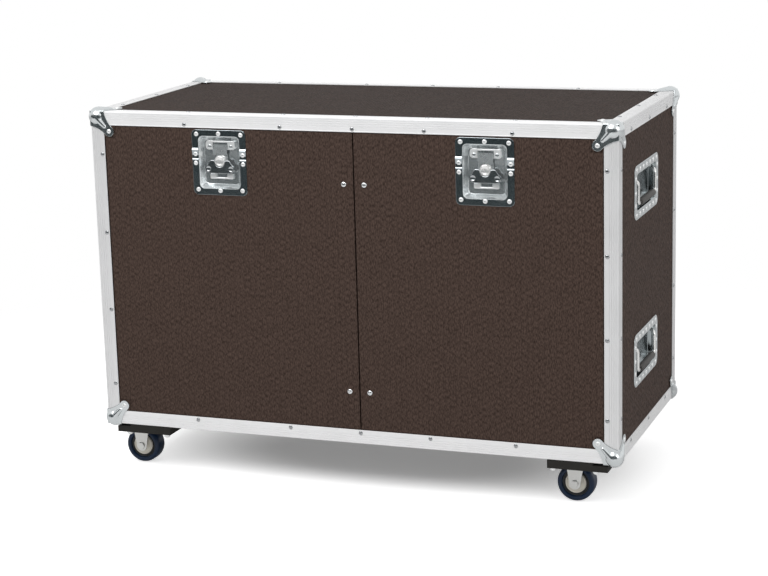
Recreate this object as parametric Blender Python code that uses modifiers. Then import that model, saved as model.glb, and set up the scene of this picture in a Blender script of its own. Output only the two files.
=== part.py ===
"""A wheeled flight case for a stage multicore cable.

The body is plywood edged with ribbed aluminium angle. Two doors close the front and swing on upright
pivots at their outer edges. Each door has a recessed butterfly latch and each side has two recessed
bail handles. The case stands on four swivel casters.

X runs along the width, Y from the front to the back and Z up from the floor.
"""

import math

import bmesh
import bpy
from mathutils import Matrix, Vector

# Driving sizes, in metres

BODY_WIDTH = 1.160
BODY_DEPTH = 0.542
BODY_HEIGHT = 0.697
FIT_GAP = 0.0003
DRAWN_SCALE = 1000
JOIN_OVERLAP = 0.0005

PANEL_THICKNESS = 0.009

EDGE_LEG = 0.030
EDGE_THICKNESS = 0.0015
EDGE_ARRIS_RADIUS = 0.002
EDGE_GROOVE_DEPTH = 0.0004
EDGE_GROOVE_HALF_WIDTH = 0.0008
EDGE_GROOVE_FIRST = 0.0045
EDGE_GROOVE_PITCH = 0.0048
EDGE_GROOVE_COUNT = 3

CORNER_BALL_RADIUS = 0.020
CORNER_BALL_INSET = 0.0135
CORNER_LEG_THICKNESS = 0.0015
CORNER_SKIRT = 0.032
CORNER_WAIST = (0.0335, 0.021)
CORNER_RIVET_INSET = 0.0427
CORNER_TIP_RADIUS = 0.011
CORNER_BEAD_RADIUS = 0.0036
CORNER_BEAD_HALF_LENGTH = 0.014
CORNER_BEAD_INSET = 0.0265

DOOR_GAP_X = 0.021
DOOR_GAP_WIDTH = 0.003
DOOR_SETBACK = 0.002
DOOR_EDGE_GAP = 0.002
DOOR_CORNER_GAP = 0.0022
DOOR_PIVOT_MARGIN = 0.004
PIVOT_RADIUS = 0.003
PIVOT_REACH = 0.013
PIVOT_BURIED = 0.020
PIVOT_END_GAP = 0.001
RUNNING_CLEARANCE = 0.0003

FRAME_DEPTH = 0.0282
FRAME_STILE_WIDTH = 0.0179
FRAME_STOP = 0.010
FRAME_DOOR_CLEARANCE = 0.001
FRAME_STOP_CLEARANCE = 0.0005

BATTEN_WIDTH = 0.036
BATTEN_THICKNESS = 0.012
BATTEN_OFFSET = 0.0225
BATTEN_END_CLEARANCE = 0.003

LATCH_OUTWARD_OF_DOOR_MIDDLE = {"left": 0.01675, "right": 0.01925}
LATCH_BELOW_TOP = 0.103
LATCH_FLANGE = (0.124, 0.139)
LATCH_OPENING = (0.092, 0.1096)
LATCH_DEPTH = 0.014
LATCH_WALL_SLOPE = 0.008
LATCH_CUTOUT_MARGIN = 0.0036

HANDLE_BEHIND_FRONT = 0.248
UPPER_HANDLE_BELOW_TOP = 0.164
LOWER_HANDLE_ABOVE_UNDERSIDE = 0.178
HANDLE_FLANGE = (0.218, 0.113)
HANDLE_OPENING = (0.176, 0.074)
HANDLE_DEPTH = 0.017
HANDLE_WALL_SLOPE = 0.003
HANDLE_CUTOUT_MARGIN = (0.008, 0.004)
DISH_THICKNESS = 0.0012
LATCH_FLANGE_RADIUS = 0.011
HANDLE_FLANGE_RADIUS = 0.019
DISH_RIM_RADIUS = 0.009
DISH_FLOOR_RADIUS = 0.007

KEEPER_FRONT = -0.0058
KEEPER_THICKNESS = 0.0015
KEEPER_HALF_WIDTH = 0.03375
KEEPER_BORDER = (0.0022, 0.0035)
KEEPER_CORNER_RADIUS = 0.006
KEEPER_SLOT_HALF_WIDTH = 0.017
KEEPER_SLOT_CLEARANCE = (0.0012, 0.0018)
KEEPER_FOOT_WIDTH = 0.010
KEEPER_FOOT_SPACING = 0.053
KEEPER_FOOT_MARGIN = 0.002
BRACKET_HALF_WIDTH = 0.027
BRACKET_RISE = (-0.036, -0.024)
BRACKET_NOTCH_HALF_WIDTH = 0.010
BRACKET_NOTCH_DEPTH = 0.006
BRACKET_HEIGHT = 0.005

KNOB_RADIUS = 0.0115
KNOB_ABOVE_CENTRE = 0.003
KNOB_FRONT = 0.0010
KNOB_CHAMFER = 0.0013
KNOB_LIP = 0.0018
KNOB_DISH = (0.0018, 0.0012)
KNOB_FOOT = (0.0010, 0.0020)
ECCENTRIC_RADIUS = 0.0055

HOOK_FRONT = -0.0078
HOOK_RAISED_FRONT = -0.0030
HOOK_TRAVEL = 0.008
HOOK_HALF_WIDTH = 0.016
HOOK_THICKNESS = 0.0018
HOOK_LOW = -0.012
HOOK_STEP = 0.017
HOOK_CLAW = 0.030
HOOK_CLAW_THICKNESS = 0.0022
HOOK_CLAW_OVERREACH = 0.0017
HOOK_END = 0.038
YOKE_SLACK = 0.0011

WING_MIDDLE = -0.0007
WING_THICKNESS = 0.003
WING_GAP = 0.0009
WING_SHOULDERS = ((0.0190, 0.0052), (0.0255, 0.0020))
WING_LOBE = (0.0255, -0.0132)
WING_LOBE_RADIUS = 0.0083
WING_TOE = (0.0262, -0.0230)
WING_HINGE_BELOW_KNOB = 0.0005
WING_HINGE_RADIUS = 0.0012
WING_HINGE_DEPTH = 0.0021
WING_DIMPLE_RADIUS = 0.005
WING_DIMPLE_SPACING = 0.0515
WING_DIMPLE_DEPTH = 0.0008

BAIL_RADIUS = 0.004
BAIL_SIDE_MARGIN = 0.010
BAIL_END_MARGIN = 0.013
BAIL_BEND_RADIUS = 0.007
BAIL_AXIS_DEPTH = 0.008
BAIL_PIVOT_REACH = 0.0015
BAIL_CRANK = 0.0075
BAIL_CRANK_RUN = 0.010
GRIP_RADIUS = 0.0075
GRIP_END_GAP = 0.010
GRIP_CHAMFER = 0.001

CASTER_HEIGHT = 0.108
CASTER_BEHIND_SIDE = 0.078
CASTER_BEHIND_FRONT = 0.082
CASTER_TRAIL = 0.030
CASTER_PLATE = (0.084, 0.056, 0.003)
CASTER_PLATE_CORNER = 0.008
RACE_RADIUS = 0.0275
RACE_SHOULDER_DROP = 0.006
RACE_TAPER = 0.003
RACE_DROP = 0.0165
KINGPIN_RADIUS = 0.006
KINGPIN_HEAD = (0.010, 0.005)

CROWN_DROP = 0.0190
CROWN_THICKNESS = 0.0025
CROWN_LENGTH = 0.054
CROWN_RING_RADIUS = 0.024
FORK_THICKNESS = 0.003
FORK_TOP_REACH = (0.022, 0.018)
FORK_STRAIGHT = (0.015, 0.012)
FORK_FLARE = 0.008
FORK_BOSS_RADIUS = 0.012
AXLE_NUT = (0.008, 0.004)

WHEEL_RADIUS = 0.040
WHEEL_WIDTH = 0.034
WHEEL_STEPS = 16
AXLE_RADIUS = 0.005
WHEEL_SIDE_GAP = 0.0025
HUB_RADII = (0.0110, 0.0125)
HUB_WEB_HALF_WIDTH = 0.0125
TYRE_SIDE = (0.0135, 0.0110)
TYRE_SHOULDER = (0.0040, 0.0006)
TYRE_TREAD_CORNER = 0.0070

BOARD_THICKNESS = 0.018
BOARD_WIDTH = 0.128
BOARD_BEHIND_SIDE = 0.023
BOARD_OPENING_CLEARANCE = 0.002
BOARD_OPENING_CORNER = 0.006
BOARD_CORNER_POCKET = 0.005
BOARD_POCKET_CLEARANCE = 0.001

# Places that follow from the sizes

HALF_WIDTH = BODY_WIDTH / 2
HALF_DEPTH = BODY_DEPTH / 2
HALF_HEIGHT = BODY_HEIGHT / 2
UNDERSIDE = CASTER_HEIGHT
PANEL_INSET = EDGE_THICKNESS + FIT_GAP
PANEL_INNER = PANEL_INSET + PANEL_THICKNESS
DISH_FRONT = FIT_GAP + DISH_THICKNESS
DOOR_REAR = DOOR_SETBACK + PANEL_THICKNESS
PIVOT_DEPTH = DOOR_SETBACK + PANEL_THICKNESS / 2
DOOR_OUTER_X = HALF_WIDTH - EDGE_LEG - DOOR_EDGE_GAP
DOOR_LOW = EDGE_LEG + DOOR_EDGE_GAP
DOOR_HIGH = BODY_HEIGHT - DOOR_LOW
PIVOT_X = DOOR_OUTER_X - DOOR_PIVOT_MARGIN
CORNER_TIP_REACH = CORNER_RIVET_INSET + CORNER_TIP_RADIUS
NOTCH_LOW = CORNER_TIP_REACH + DOOR_CORNER_GAP
NOTCH_X = HALF_WIDTH - NOTCH_LOW
FORK_INNER = WHEEL_WIDTH / 2 + WHEEL_SIDE_GAP
HUB_HALF_WIDTH = FORK_INNER - RUNNING_CLEARANCE
AXLE_DROP = CASTER_HEIGHT - WHEEL_RADIUS
CROWN_LOW = -CROWN_DROP - CROWN_THICKNESS
CASTER_X = HALF_WIDTH - CASTER_BEHIND_SIDE
BOARD_OUTER_X = HALF_WIDTH - BOARD_BEHIND_SIDE
BOARD_INNER_X = BOARD_OUTER_X - BOARD_WIDTH
LATCH_CENTRE_HEIGHT = BODY_HEIGHT - LATCH_BELOW_TOP
HANDLE_HEIGHTS = {
    "upper": BODY_HEIGHT - UPPER_HANDLE_BELOW_TOP,
    "lower": LOWER_HANDLE_ABOVE_UNDERSIDE,
}
BAIL_HALF_WIDTH = HANDLE_OPENING[0] / 2 - BAIL_SIDE_MARGIN
BAIL_HEIGHT = HANDLE_OPENING[1] - 2 * BAIL_END_MARGIN
BAIL_AXIS_ABOVE_CENTRE = HANDLE_OPENING[1] / 2 - BAIL_END_MARGIN
GRIP_LENGTH = 2 * (BAIL_HALF_WIDTH - BAIL_BEND_RADIUS - GRIP_END_GAP)
WING_HINGE_HEIGHT = KNOB_ABOVE_CENTRE - WING_HINGE_BELOW_KNOB
WING_PIN_START = KNOB_RADIUS - WING_HINGE_DEPTH
WING_PIN_END = KNOB_RADIUS + WING_GAP + WING_THICKNESS


# Collections and materials


def clear_scene():
    for thing in list(bpy.data.objects):
        bpy.data.objects.remove(thing)


def new_collection(name):
    collection = bpy.data.collections.new(name)
    bpy.context.scene.collection.children.link(collection)
    return collection


def material(name, colour, metallic, roughness):
    made = bpy.data.materials.new(name)
    made.use_nodes = True
    shader = made.node_tree.nodes["Principled BSDF"]
    shader.inputs["Base Color"].default_value = (*colour, 1.0)
    shader.inputs["Metallic"].default_value = metallic
    shader.inputs["Roughness"].default_value = roughness
    return made


# Placing and combining solids


def frame_at(across, up, origin):
    """A placing matrix: local X runs across, local Y runs up and local Z points out of the face."""
    across = Vector(across)
    up = Vector(up)
    out = across.cross(up)
    turned_axes = Matrix((across, up, out)).transposed().to_4x4()
    return Matrix.Translation(origin) @ turned_axes


def add_part(name, mesh, finish, placing=None, origin=(0, 0, 0)):
    """Add a named solid. Its mesh is drawn in the placing frame and its origin moves to the given point."""
    placing = placing or Matrix.Identity(4)
    mesh.name = name
    mesh.transform(Matrix.Translation(-Vector(origin)))
    mesh.materials.clear()
    mesh.materials.append(finish)
    part = bpy.data.objects.new(name, mesh)
    part.matrix_world = placing @ Matrix.Translation(origin)
    PARTS.objects.link(part)
    return part


def combine(part, tool_mesh, operation, placing=None, solver="EXACT"):
    """Join a solid to a part or cut it out. The tool's mesh is drawn in the placing frame."""
    tool = bpy.data.objects.new(f"{part.name}_{operation.lower()}", tool_mesh)
    tool.matrix_world = placing or Matrix.Identity(4)
    tool.hide_render = True
    tool.display_type = "WIRE"
    CUTTERS.objects.link(tool)
    modifier = part.modifiers.new(tool.name, "BOOLEAN")
    modifier.operation = operation
    modifier.object = tool
    modifier.solver = solver


def evaluated_mesh(thing):
    bpy.context.view_layer.update()
    return bpy.data.meshes.new_from_object(thing.evaluated_get(bpy.context.evaluated_depsgraph_get()))


def mesh_from_bmesh(shape):
    mesh = bpy.data.meshes.new("solid")
    bmesh.ops.recalc_face_normals(shape, faces=shape.faces)
    shape.to_mesh(mesh)
    shape.free()
    return mesh


def mesh_from_curve(curve, weld=1e-6):
    """The closed mesh of a filled or bevelled curve, welded where its caps meet its sides."""
    drawn = bpy.data.objects.new("drawn", curve)
    bpy.context.scene.collection.objects.link(drawn)
    mesh = evaluated_mesh(drawn)
    bpy.data.objects.remove(drawn)
    shape = bmesh.new()
    shape.from_mesh(mesh)
    bmesh.ops.remove_doubles(shape, verts=shape.verts, dist=weld)
    return mesh_from_bmesh(shape)


def smooth_round_faces(part, angle_degrees=35):
    part.data.polygons.foreach_set("use_smooth", [True] * len(part.data.polygons))
    part.data.set_sharp_from_angle(angle=math.radians(angle_degrees))


# Basic solids, drawn in the frame in which they are placed


def box(low, high):
    shape = bmesh.new()
    bmesh.ops.create_cube(shape, size=1.0)
    low = Vector(low)
    high = Vector(high)
    bmesh.ops.scale(shape, vec=high - low, verts=shape.verts)
    bmesh.ops.translate(shape, vec=(low + high) / 2, verts=shape.verts)
    return mesh_from_bmesh(shape)


def cylinder(start, end, radius, segments=12):
    start = Vector(start)
    end = Vector(end)
    along = end - start
    turn = along.to_track_quat("Z", "Y").to_matrix().to_4x4()
    shape = bmesh.new()
    bmesh.ops.create_cone(
        shape,
        cap_ends=True,
        segments=segments,
        radius1=radius,
        radius2=radius,
        depth=along.length,
        matrix=Matrix.Translation((start + end) / 2) @ turn,
    )
    return mesh_from_bmesh(shape)


def slab(outlines, low, high):
    """A flat plate between two heights. The first outline is its edge and the others are holes.

    The curve is drawn a thousand times larger, because the fill drops very small edges.
    """
    curve = bpy.data.curves.new("outline", "CURVE")
    curve.dimensions = "2D"
    curve.fill_mode = "BOTH"
    curve.extrude = DRAWN_SCALE * (high - low) / 2
    for outline in outlines:
        spline = curve.splines.new("POLY")
        spline.points.add(len(outline) - 1)
        for point, (across, up) in zip(spline.points, outline):
            point.co = (DRAWN_SCALE * across, DRAWN_SCALE * up, 0, 1)
        spline.use_cyclic_u = True
    mesh = mesh_from_curve(curve, weld=1e-4)
    mesh.transform(Matrix.Translation((0, 0, (low + high) / 2)) @ Matrix.Scale(1 / DRAWN_SCALE, 4))
    return mesh


def rod(path, radius):
    curve = bpy.data.curves.new("rod", "CURVE")
    curve.dimensions = "3D"
    curve.bevel_depth = radius
    curve.bevel_resolution = 2
    curve.use_fill_caps = True
    spline = curve.splines.new("POLY")
    spline.points.add(len(path) - 1)
    for point, place in zip(spline.points, path):
        point.co = (*place, 1)
    return mesh_from_curve(curve)


def turned(profile, steps, closed=False):
    """A solid of revolution about local Z from a profile of radius and height pairs."""
    shape = bmesh.new()
    corners = [shape.verts.new((radius, 0, height)) for radius, height in profile]
    for first, second in zip(corners, corners[1:]):
        shape.edges.new((first, second))
    if closed:
        shape.edges.new((corners[-1], corners[0]))
    drawn_mesh = bpy.data.meshes.new("profile")
    shape.to_mesh(drawn_mesh)
    shape.free()
    drawn = bpy.data.objects.new("drawn", drawn_mesh)
    bpy.context.scene.collection.objects.link(drawn)
    screw = drawn.modifiers.new("turn", "SCREW")
    screw.steps = steps
    screw.render_steps = steps
    screw.use_merge_vertices = True
    screw.merge_threshold = 0.00001
    mesh = evaluated_mesh(drawn)
    bpy.data.objects.remove(drawn)
    shape = bmesh.new()
    shape.from_mesh(mesh)
    return mesh_from_bmesh(shape)


def arc(centre, radius, start_degrees, end_degrees, steps):
    points = []
    for step in range(steps + 1):
        angle = math.radians(start_degrees + (end_degrees - start_degrees) * step / steps)
        points.append((centre[0] + radius * math.cos(angle), centre[1] + radius * math.sin(angle)))
    return points


def rounded_rectangle(width, height, radius, centre=(0, 0), steps=2):
    points = []
    for across, up, start in ((1, 1, 0), (-1, 1, 90), (-1, -1, 180), (1, -1, 270)):
        corner = (
            centre[0] + across * (width / 2 - radius),
            centre[1] + up * (height / 2 - radius),
        )
        points.extend(arc(corner, radius, start, start + 90, steps))
    return points


def pressed_dish(flange, flange_radius, opening, depth, slope):
    """A sheet pressing: a flat flange with a rounded recess whose walls lean in towards its floor."""
    floor = (opening[0] - 2 * slope, opening[1] - 2 * slope)
    rings = (
        (rounded_rectangle(*flange, flange_radius), 0),
        (rounded_rectangle(*opening, DISH_RIM_RADIUS), 0),
        (rounded_rectangle(*floor, DISH_FLOOR_RADIUS), -depth),
    )
    shape = bmesh.new()
    drawn_rings = []
    for outline, height in rings:
        drawn_rings.append([shape.verts.new((across, up, height)) for across, up in outline])
    count = len(drawn_rings[0])
    for outer, inner in zip(drawn_rings, drawn_rings[1:]):
        for step in range(count):
            following = (step + 1) % count
            shape.faces.new((outer[step], outer[following], inner[following], inner[step]))
    shape.faces.new(drawn_rings[-1])
    drawn_mesh = bpy.data.meshes.new("pressing")
    shape.to_mesh(drawn_mesh)
    shape.free()
    drawn = bpy.data.objects.new("drawn", drawn_mesh)
    bpy.context.scene.collection.objects.link(drawn)
    sheet = drawn.modifiers.new("sheet", "SOLIDIFY")
    sheet.thickness = DISH_THICKNESS
    sheet.offset = -1
    sheet.use_even_offset = True
    mesh = evaluated_mesh(drawn)
    bpy.data.objects.remove(drawn)
    mesh.transform(Matrix.Translation((0, 0, DISH_FRONT)))
    return mesh


# Plywood body


def add_body_panels(plywood):
    """Five fixed boards, butted together behind the edge angle."""
    outer_x = HALF_WIDTH - PANEL_INSET
    inner_x = HALF_WIDTH - PANEL_INNER
    outer_y = HALF_DEPTH - PANEL_INSET
    low = UNDERSIDE + PANEL_INNER
    high = UNDERSIDE + BODY_HEIGHT - PANEL_INNER
    floor_low = UNDERSIDE + PANEL_INSET
    add_part("base_panel", box((-outer_x, -outer_y, floor_low), (outer_x, outer_y, low)), plywood)
    add_part(
        "top_panel",
        box((-outer_x, -outer_y, high), (outer_x, outer_y, high + PANEL_THICKNESS)),
        plywood,
    )
    back = box(
        (-inner_x + FIT_GAP, outer_y - PANEL_THICKNESS, low + FIT_GAP),
        (inner_x - FIT_GAP, outer_y, high - FIT_GAP),
    )
    add_part("back_panel", back, plywood)
    for side, placing in SIDE_FRAMES.items():
        direction = 1 if side == "right" else -1
        edge = [
            (direction * PANEL_INSET, PANEL_INNER + FIT_GAP),
            (direction * (BODY_DEPTH - PANEL_INSET), PANEL_INNER + FIT_GAP),
            (direction * (BODY_DEPTH - PANEL_INSET), BODY_HEIGHT - PANEL_INNER - FIT_GAP),
            (direction * PANEL_INSET, BODY_HEIGHT - PANEL_INNER - FIT_GAP),
        ]
        openings = [
            rounded_rectangle(
                HANDLE_OPENING[0] + HANDLE_CUTOUT_MARGIN[0],
                HANDLE_OPENING[1] + HANDLE_CUTOUT_MARGIN[1],
                DISH_RIM_RADIUS,
                (direction * HANDLE_BEHIND_FRONT, height),
            )
            for height in HANDLE_HEIGHTS.values()
        ]
        board = slab([edge, *openings], -PANEL_INNER, -PANEL_INSET)
        add_part(f"{side}_side_panel", board, plywood, placing)


# Ribbed aluminium edge angle


def edge_leg_section():
    """One leg of the angle, from the arris out to its free edge and back along its inner face.

    Each point is its depth behind the leg's own face and its distance from the other face.
    """
    radius = EDGE_ARRIS_RADIUS
    points = []
    for angle in (45, 22.5, 0):
        turn = math.radians(angle)
        points.append((radius - radius * math.cos(turn), radius - radius * math.sin(turn)))
    for groove in range(EDGE_GROOVE_COUNT):
        middle = EDGE_GROOVE_FIRST + groove * EDGE_GROOVE_PITCH
        points.append((0, middle - EDGE_GROOVE_HALF_WIDTH))
        points.append((EDGE_GROOVE_DEPTH, middle))
        points.append((0, middle + EDGE_GROOVE_HALF_WIDTH))
    points.append((0, EDGE_LEG - EDGE_GROOVE_DEPTH))
    points.append((EDGE_GROOVE_DEPTH, EDGE_LEG))
    points.append((EDGE_THICKNESS, EDGE_LEG))
    points.append((EDGE_THICKNESS, EDGE_THICKNESS))
    return points


def edge_angle(run, signs):
    """One length of angle along the axis numbered run, mitred at both ends on both faces."""
    halves = (HALF_WIDTH, HALF_DEPTH, HALF_HEIGHT)
    centre = Vector((0, 0, UNDERSIDE + HALF_HEIGHT))
    first, second = [axis for axis in range(3) if axis != run]
    leg = edge_leg_section()
    other_leg = [(far, near) for near, far in leg[1:-1]]
    section = leg + other_leg[::-1]
    shape = bmesh.new()
    ends = []
    for end in (-1, 1):
        corners = []
        for first_depth, second_depth in section:
            place = Vector((0, 0, 0))
            mitre = max(first_depth, second_depth) + FIT_GAP
            place[run] = end * (halves[run] - mitre)
            place[first] = signs[0] * (halves[first] - first_depth)
            place[second] = signs[1] * (halves[second] - second_depth)
            corners.append(shape.verts.new(centre + place))
        ends.append(corners)
    count = len(section)
    for step in range(count):
        following = (step + 1) % count
        shape.faces.new((ends[0][step], ends[0][following], ends[1][following], ends[1][step]))
    for corners in ends:
        shape.faces.new(corners[: len(leg)])
        shape.faces.new([corners[0], *corners[len(leg) - 1 :]])
    return mesh_from_bmesh(shape)


def add_edge_angles(aluminium):
    for depth_sign, depth_name in ((-1, "front"), (1, "back")):
        for height_sign, height_name in ((-1, "bottom"), (1, "top")):
            name = f"{depth_name}_{height_name}_edge"
            add_part(name, edge_angle(0, (depth_sign, height_sign)), aluminium)
    for side_sign, side_name in ((-1, "left"), (1, "right")):
        for height_sign, height_name in ((-1, "bottom"), (1, "top")):
            name = f"{side_name}_{height_name}_edge"
            add_part(name, edge_angle(1, (side_sign, height_sign)), aluminium)
        for depth_sign, depth_name in ((-1, "front"), (1, "back")):
            name = f"{depth_name}_{side_name}_edge"
            add_part(name, edge_angle(2, (side_sign, depth_sign)), aluminium)


# Ball corners


def corner_leg_outline():
    """The waisted leg on one face, from the vertex to the rounded tip round its rivet."""
    outside = -CORNER_LEG_THICKNESS
    rivet = (CORNER_RIVET_INSET, CORNER_RIVET_INSET)
    tip = arc(rivet, CORNER_TIP_RADIUS, -45, 135, 4)
    start = Vector((CORNER_SKIRT, 0))
    waist = Vector(CORNER_WAIST)
    end = Vector(tip[0])
    side = []
    for step in range(3):
        along = 0.32 * step
        place = start * (1 - along) ** 2 + waist * 2 * along * (1 - along) + end * along**2
        side.append(tuple(place))
    other_side = [(up, across) for across, up in reversed(side)]
    outline = [(outside, outside), (CORNER_SKIRT, outside), *side, *tip, *other_side]
    return [*outline, (outside, CORNER_SKIRT)]


def corner_ball():
    shape = bmesh.new()
    bmesh.ops.create_uvsphere(shape, u_segments=10, v_segments=6, radius=CORNER_BALL_RADIUS)
    bmesh.ops.translate(shape, vec=[CORNER_BALL_INSET] * 3, verts=shape.verts)
    return mesh_from_bmesh(shape)


def corner_bead(turn):
    """The raised rib that runs from the ball towards the rivet."""
    shape = bmesh.new()
    bmesh.ops.create_uvsphere(shape, u_segments=6, v_segments=3, radius=CORNER_BEAD_RADIUS)
    stretch = CORNER_BEAD_HALF_LENGTH / CORNER_BEAD_RADIUS
    bmesh.ops.scale(shape, vec=(1, 1, stretch), verts=shape.verts)
    lie_down = Vector((1, 1, 0)).to_track_quat("Z", "Y").to_matrix().to_4x4()
    place = Matrix.Translation((CORNER_BEAD_INSET, CORNER_BEAD_INSET, -CORNER_LEG_THICKNESS / 2))
    bmesh.ops.transform(shape, matrix=turn @ place @ lie_down, verts=shape.verts)
    return mesh_from_bmesh(shape)


def corner_cover(zinc):
    """One cover in its own frame: the vertex is the origin and the case fills positive X, Y and Z."""
    cover = add_part("corner_cover", corner_ball(), zinc)
    outline = corner_leg_outline()
    for step in range(3):
        turn = Matrix.Rotation(math.radians(120 * step), 4, Vector((1, 1, 1)))
        leg = slab([outline], -FIT_GAP - CORNER_LEG_THICKNESS, CORNER_LEG_THICKNESS / 2)
        leg.transform(turn)
        combine(cover, leg, "UNION")
        combine(cover, corner_bead(turn), "UNION")
    inside = 4 * CORNER_SKIRT
    combine(cover, box([-FIT_GAP] * 3, [inside] * 3), "DIFFERENCE")
    mesh = evaluated_mesh(cover)
    bpy.data.objects.remove(cover)
    for tool in list(CUTTERS.objects):
        bpy.data.objects.remove(tool)
    return mesh


def add_corner_covers(zinc):
    cover = corner_cover(zinc)
    for height_sign, height_name in ((-1, "bottom"), (1, "top")):
        for depth_sign, depth_name in ((-1, "front"), (1, "back")):
            for side_sign, side_name in ((-1, "left"), (1, "right")):
                mesh = cover.copy()
                signs = (-side_sign, -depth_sign, -height_sign)
                mesh.transform(Matrix.Diagonal((*signs, 1)))
                if signs[0] * signs[1] * signs[2] < 0:
                    mesh.flip_normals()
                vertex_height = UNDERSIDE + HALF_HEIGHT * (1 + height_sign)
                vertex = (side_sign * HALF_WIDTH, depth_sign * HALF_DEPTH, vertex_height)
                name = f"{depth_name}_{side_name}_{height_name}_corner"
                part = add_part(name, mesh, zinc, Matrix.Translation(vertex))
                smooth_round_faces(part)


# Door frame


def doorway_outline(outer_x, low, notch_x, notch_low):
    """The opening for both doors, with a block left standing in each corner."""
    points = []
    for side, height in ((1, -1), (1, 1), (-1, 1), (-1, -1)):
        edge = low if height < 0 else BODY_HEIGHT - low
        notch = notch_low if height < 0 else BODY_HEIGHT - notch_low
        corner = [(side * notch_x, edge), (side * notch_x, notch), (side * outer_x, notch)]
        points.extend(corner if side * height < 0 else corner[::-1])
    return points


def add_door_frame(plywood):
    """A rebated ring behind the edge angle: it stops the doors and its corner blocks hold the pivots."""
    outer_x = HALF_WIDTH - PANEL_INNER - FIT_GAP
    low = PANEL_INNER + FIT_GAP
    high = BODY_HEIGHT - low
    edge = [(-outer_x, low), (outer_x, low), (outer_x, high), (-outer_x, high)]
    inner_x = outer_x - FRAME_STILE_WIDTH
    block_x = NOTCH_X + FRAME_DOOR_CLEARANCE
    block_low = NOTCH_LOW - FRAME_DOOR_CLEARANCE
    rebate = doorway_outline(inner_x, DOOR_LOW - FRAME_DOOR_CLEARANCE, block_x, block_low)
    opening = doorway_outline(inner_x, DOOR_LOW + FRAME_STOP, block_x, block_low)
    stop_face = -DOOR_REAR - FRAME_STOP_CLEARANCE
    stops = slab([edge, opening], -PANEL_INSET - FRAME_DEPTH, stop_face)
    frame = add_part("door_frame", stops, plywood, FRONT_FRAME)
    front_ring = slab([edge, rebate], stop_face - JOIN_OVERLAP, -PANEL_INSET)
    combine(frame, front_ring, "UNION", FRONT_FRAME)
    for side in (-1, 1):
        for height, inward in ((NOTCH_LOW, 1), (BODY_HEIGHT - NOTCH_LOW, -1)):
            mouth = (side * PIVOT_X, height, -PIVOT_DEPTH)
            bottom_height = height - inward * (PIVOT_REACH + PIVOT_END_GAP)
            bottom = (side * PIVOT_X, bottom_height, -PIVOT_DEPTH)
            hole = cylinder(mouth, bottom, PIVOT_RADIUS + RUNNING_CLEARANCE)
            combine(frame, hole, "DIFFERENCE", FRONT_FRAME)


# Doors


def door_meeting_edge(side):
    direction = 1 if side == "right" else -1
    return DOOR_GAP_X + direction * DOOR_GAP_WIDTH / 2


def latch_centre_x(side):
    """The latch sits a little outward of the middle of its door."""
    direction = 1 if side == "right" else -1
    door_middle = (door_meeting_edge(side) + direction * DOOR_OUTER_X) / 2
    return door_middle + direction * LATCH_OUTWARD_OF_DOOR_MIDDLE[side]


def add_door(side, plywood):
    """A door panel with the two ends of its pivot rod standing out of its notched outer corners."""
    direction = 1 if side == "right" else -1
    meeting = door_meeting_edge(side)
    outer = direction * DOOR_OUTER_X
    notch = direction * NOTCH_X
    edge = [
        (meeting, DOOR_LOW),
        (notch, DOOR_LOW),
        (notch, NOTCH_LOW),
        (outer, NOTCH_LOW),
        (outer, BODY_HEIGHT - NOTCH_LOW),
        (notch, BODY_HEIGHT - NOTCH_LOW),
        (notch, DOOR_HIGH),
        (meeting, DOOR_HIGH),
    ]
    dish_opening = rounded_rectangle(
        LATCH_OPENING[0] + LATCH_CUTOUT_MARGIN,
        LATCH_OPENING[1] + LATCH_CUTOUT_MARGIN,
        DISH_RIM_RADIUS,
        (latch_centre_x(side), LATCH_CENTRE_HEIGHT),
    )
    pivot = (direction * PIVOT_X, 0, -PIVOT_DEPTH)
    board = slab([edge, dish_opening], -DOOR_REAR, -DOOR_SETBACK)
    door = add_part(f"{side}_door", board, plywood, FRONT_FRAME, pivot)
    for height, inward in ((NOTCH_LOW, 1), (BODY_HEIGHT - NOTCH_LOW, -1)):
        free_end = (pivot[0], height - inward * PIVOT_REACH, pivot[2])
        buried_end = (pivot[0], height + inward * PIVOT_BURIED, pivot[2])
        combine(door, cylinder(free_end, buried_end, PIVOT_RADIUS), "UNION", FRONT_FRAME)


def add_door_batten(side, batten_wood):
    """The upright strip behind a door's meeting edge that its dome-head screws hold."""
    direction = 1 if side == "right" else -1
    middle = DOOR_GAP_X + direction * BATTEN_OFFSET
    low = DOOR_LOW + FRAME_STOP + BATTEN_END_CLEARANCE
    front = -DOOR_REAR - FIT_GAP
    strip = box(
        (middle - BATTEN_WIDTH / 2, low, front - BATTEN_THICKNESS),
        (middle + BATTEN_WIDTH / 2, BODY_HEIGHT - low, front),
    )
    add_part(f"{side}_door_batten", strip, batten_wood, FRONT_FRAME)


# Butterfly latches


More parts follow.
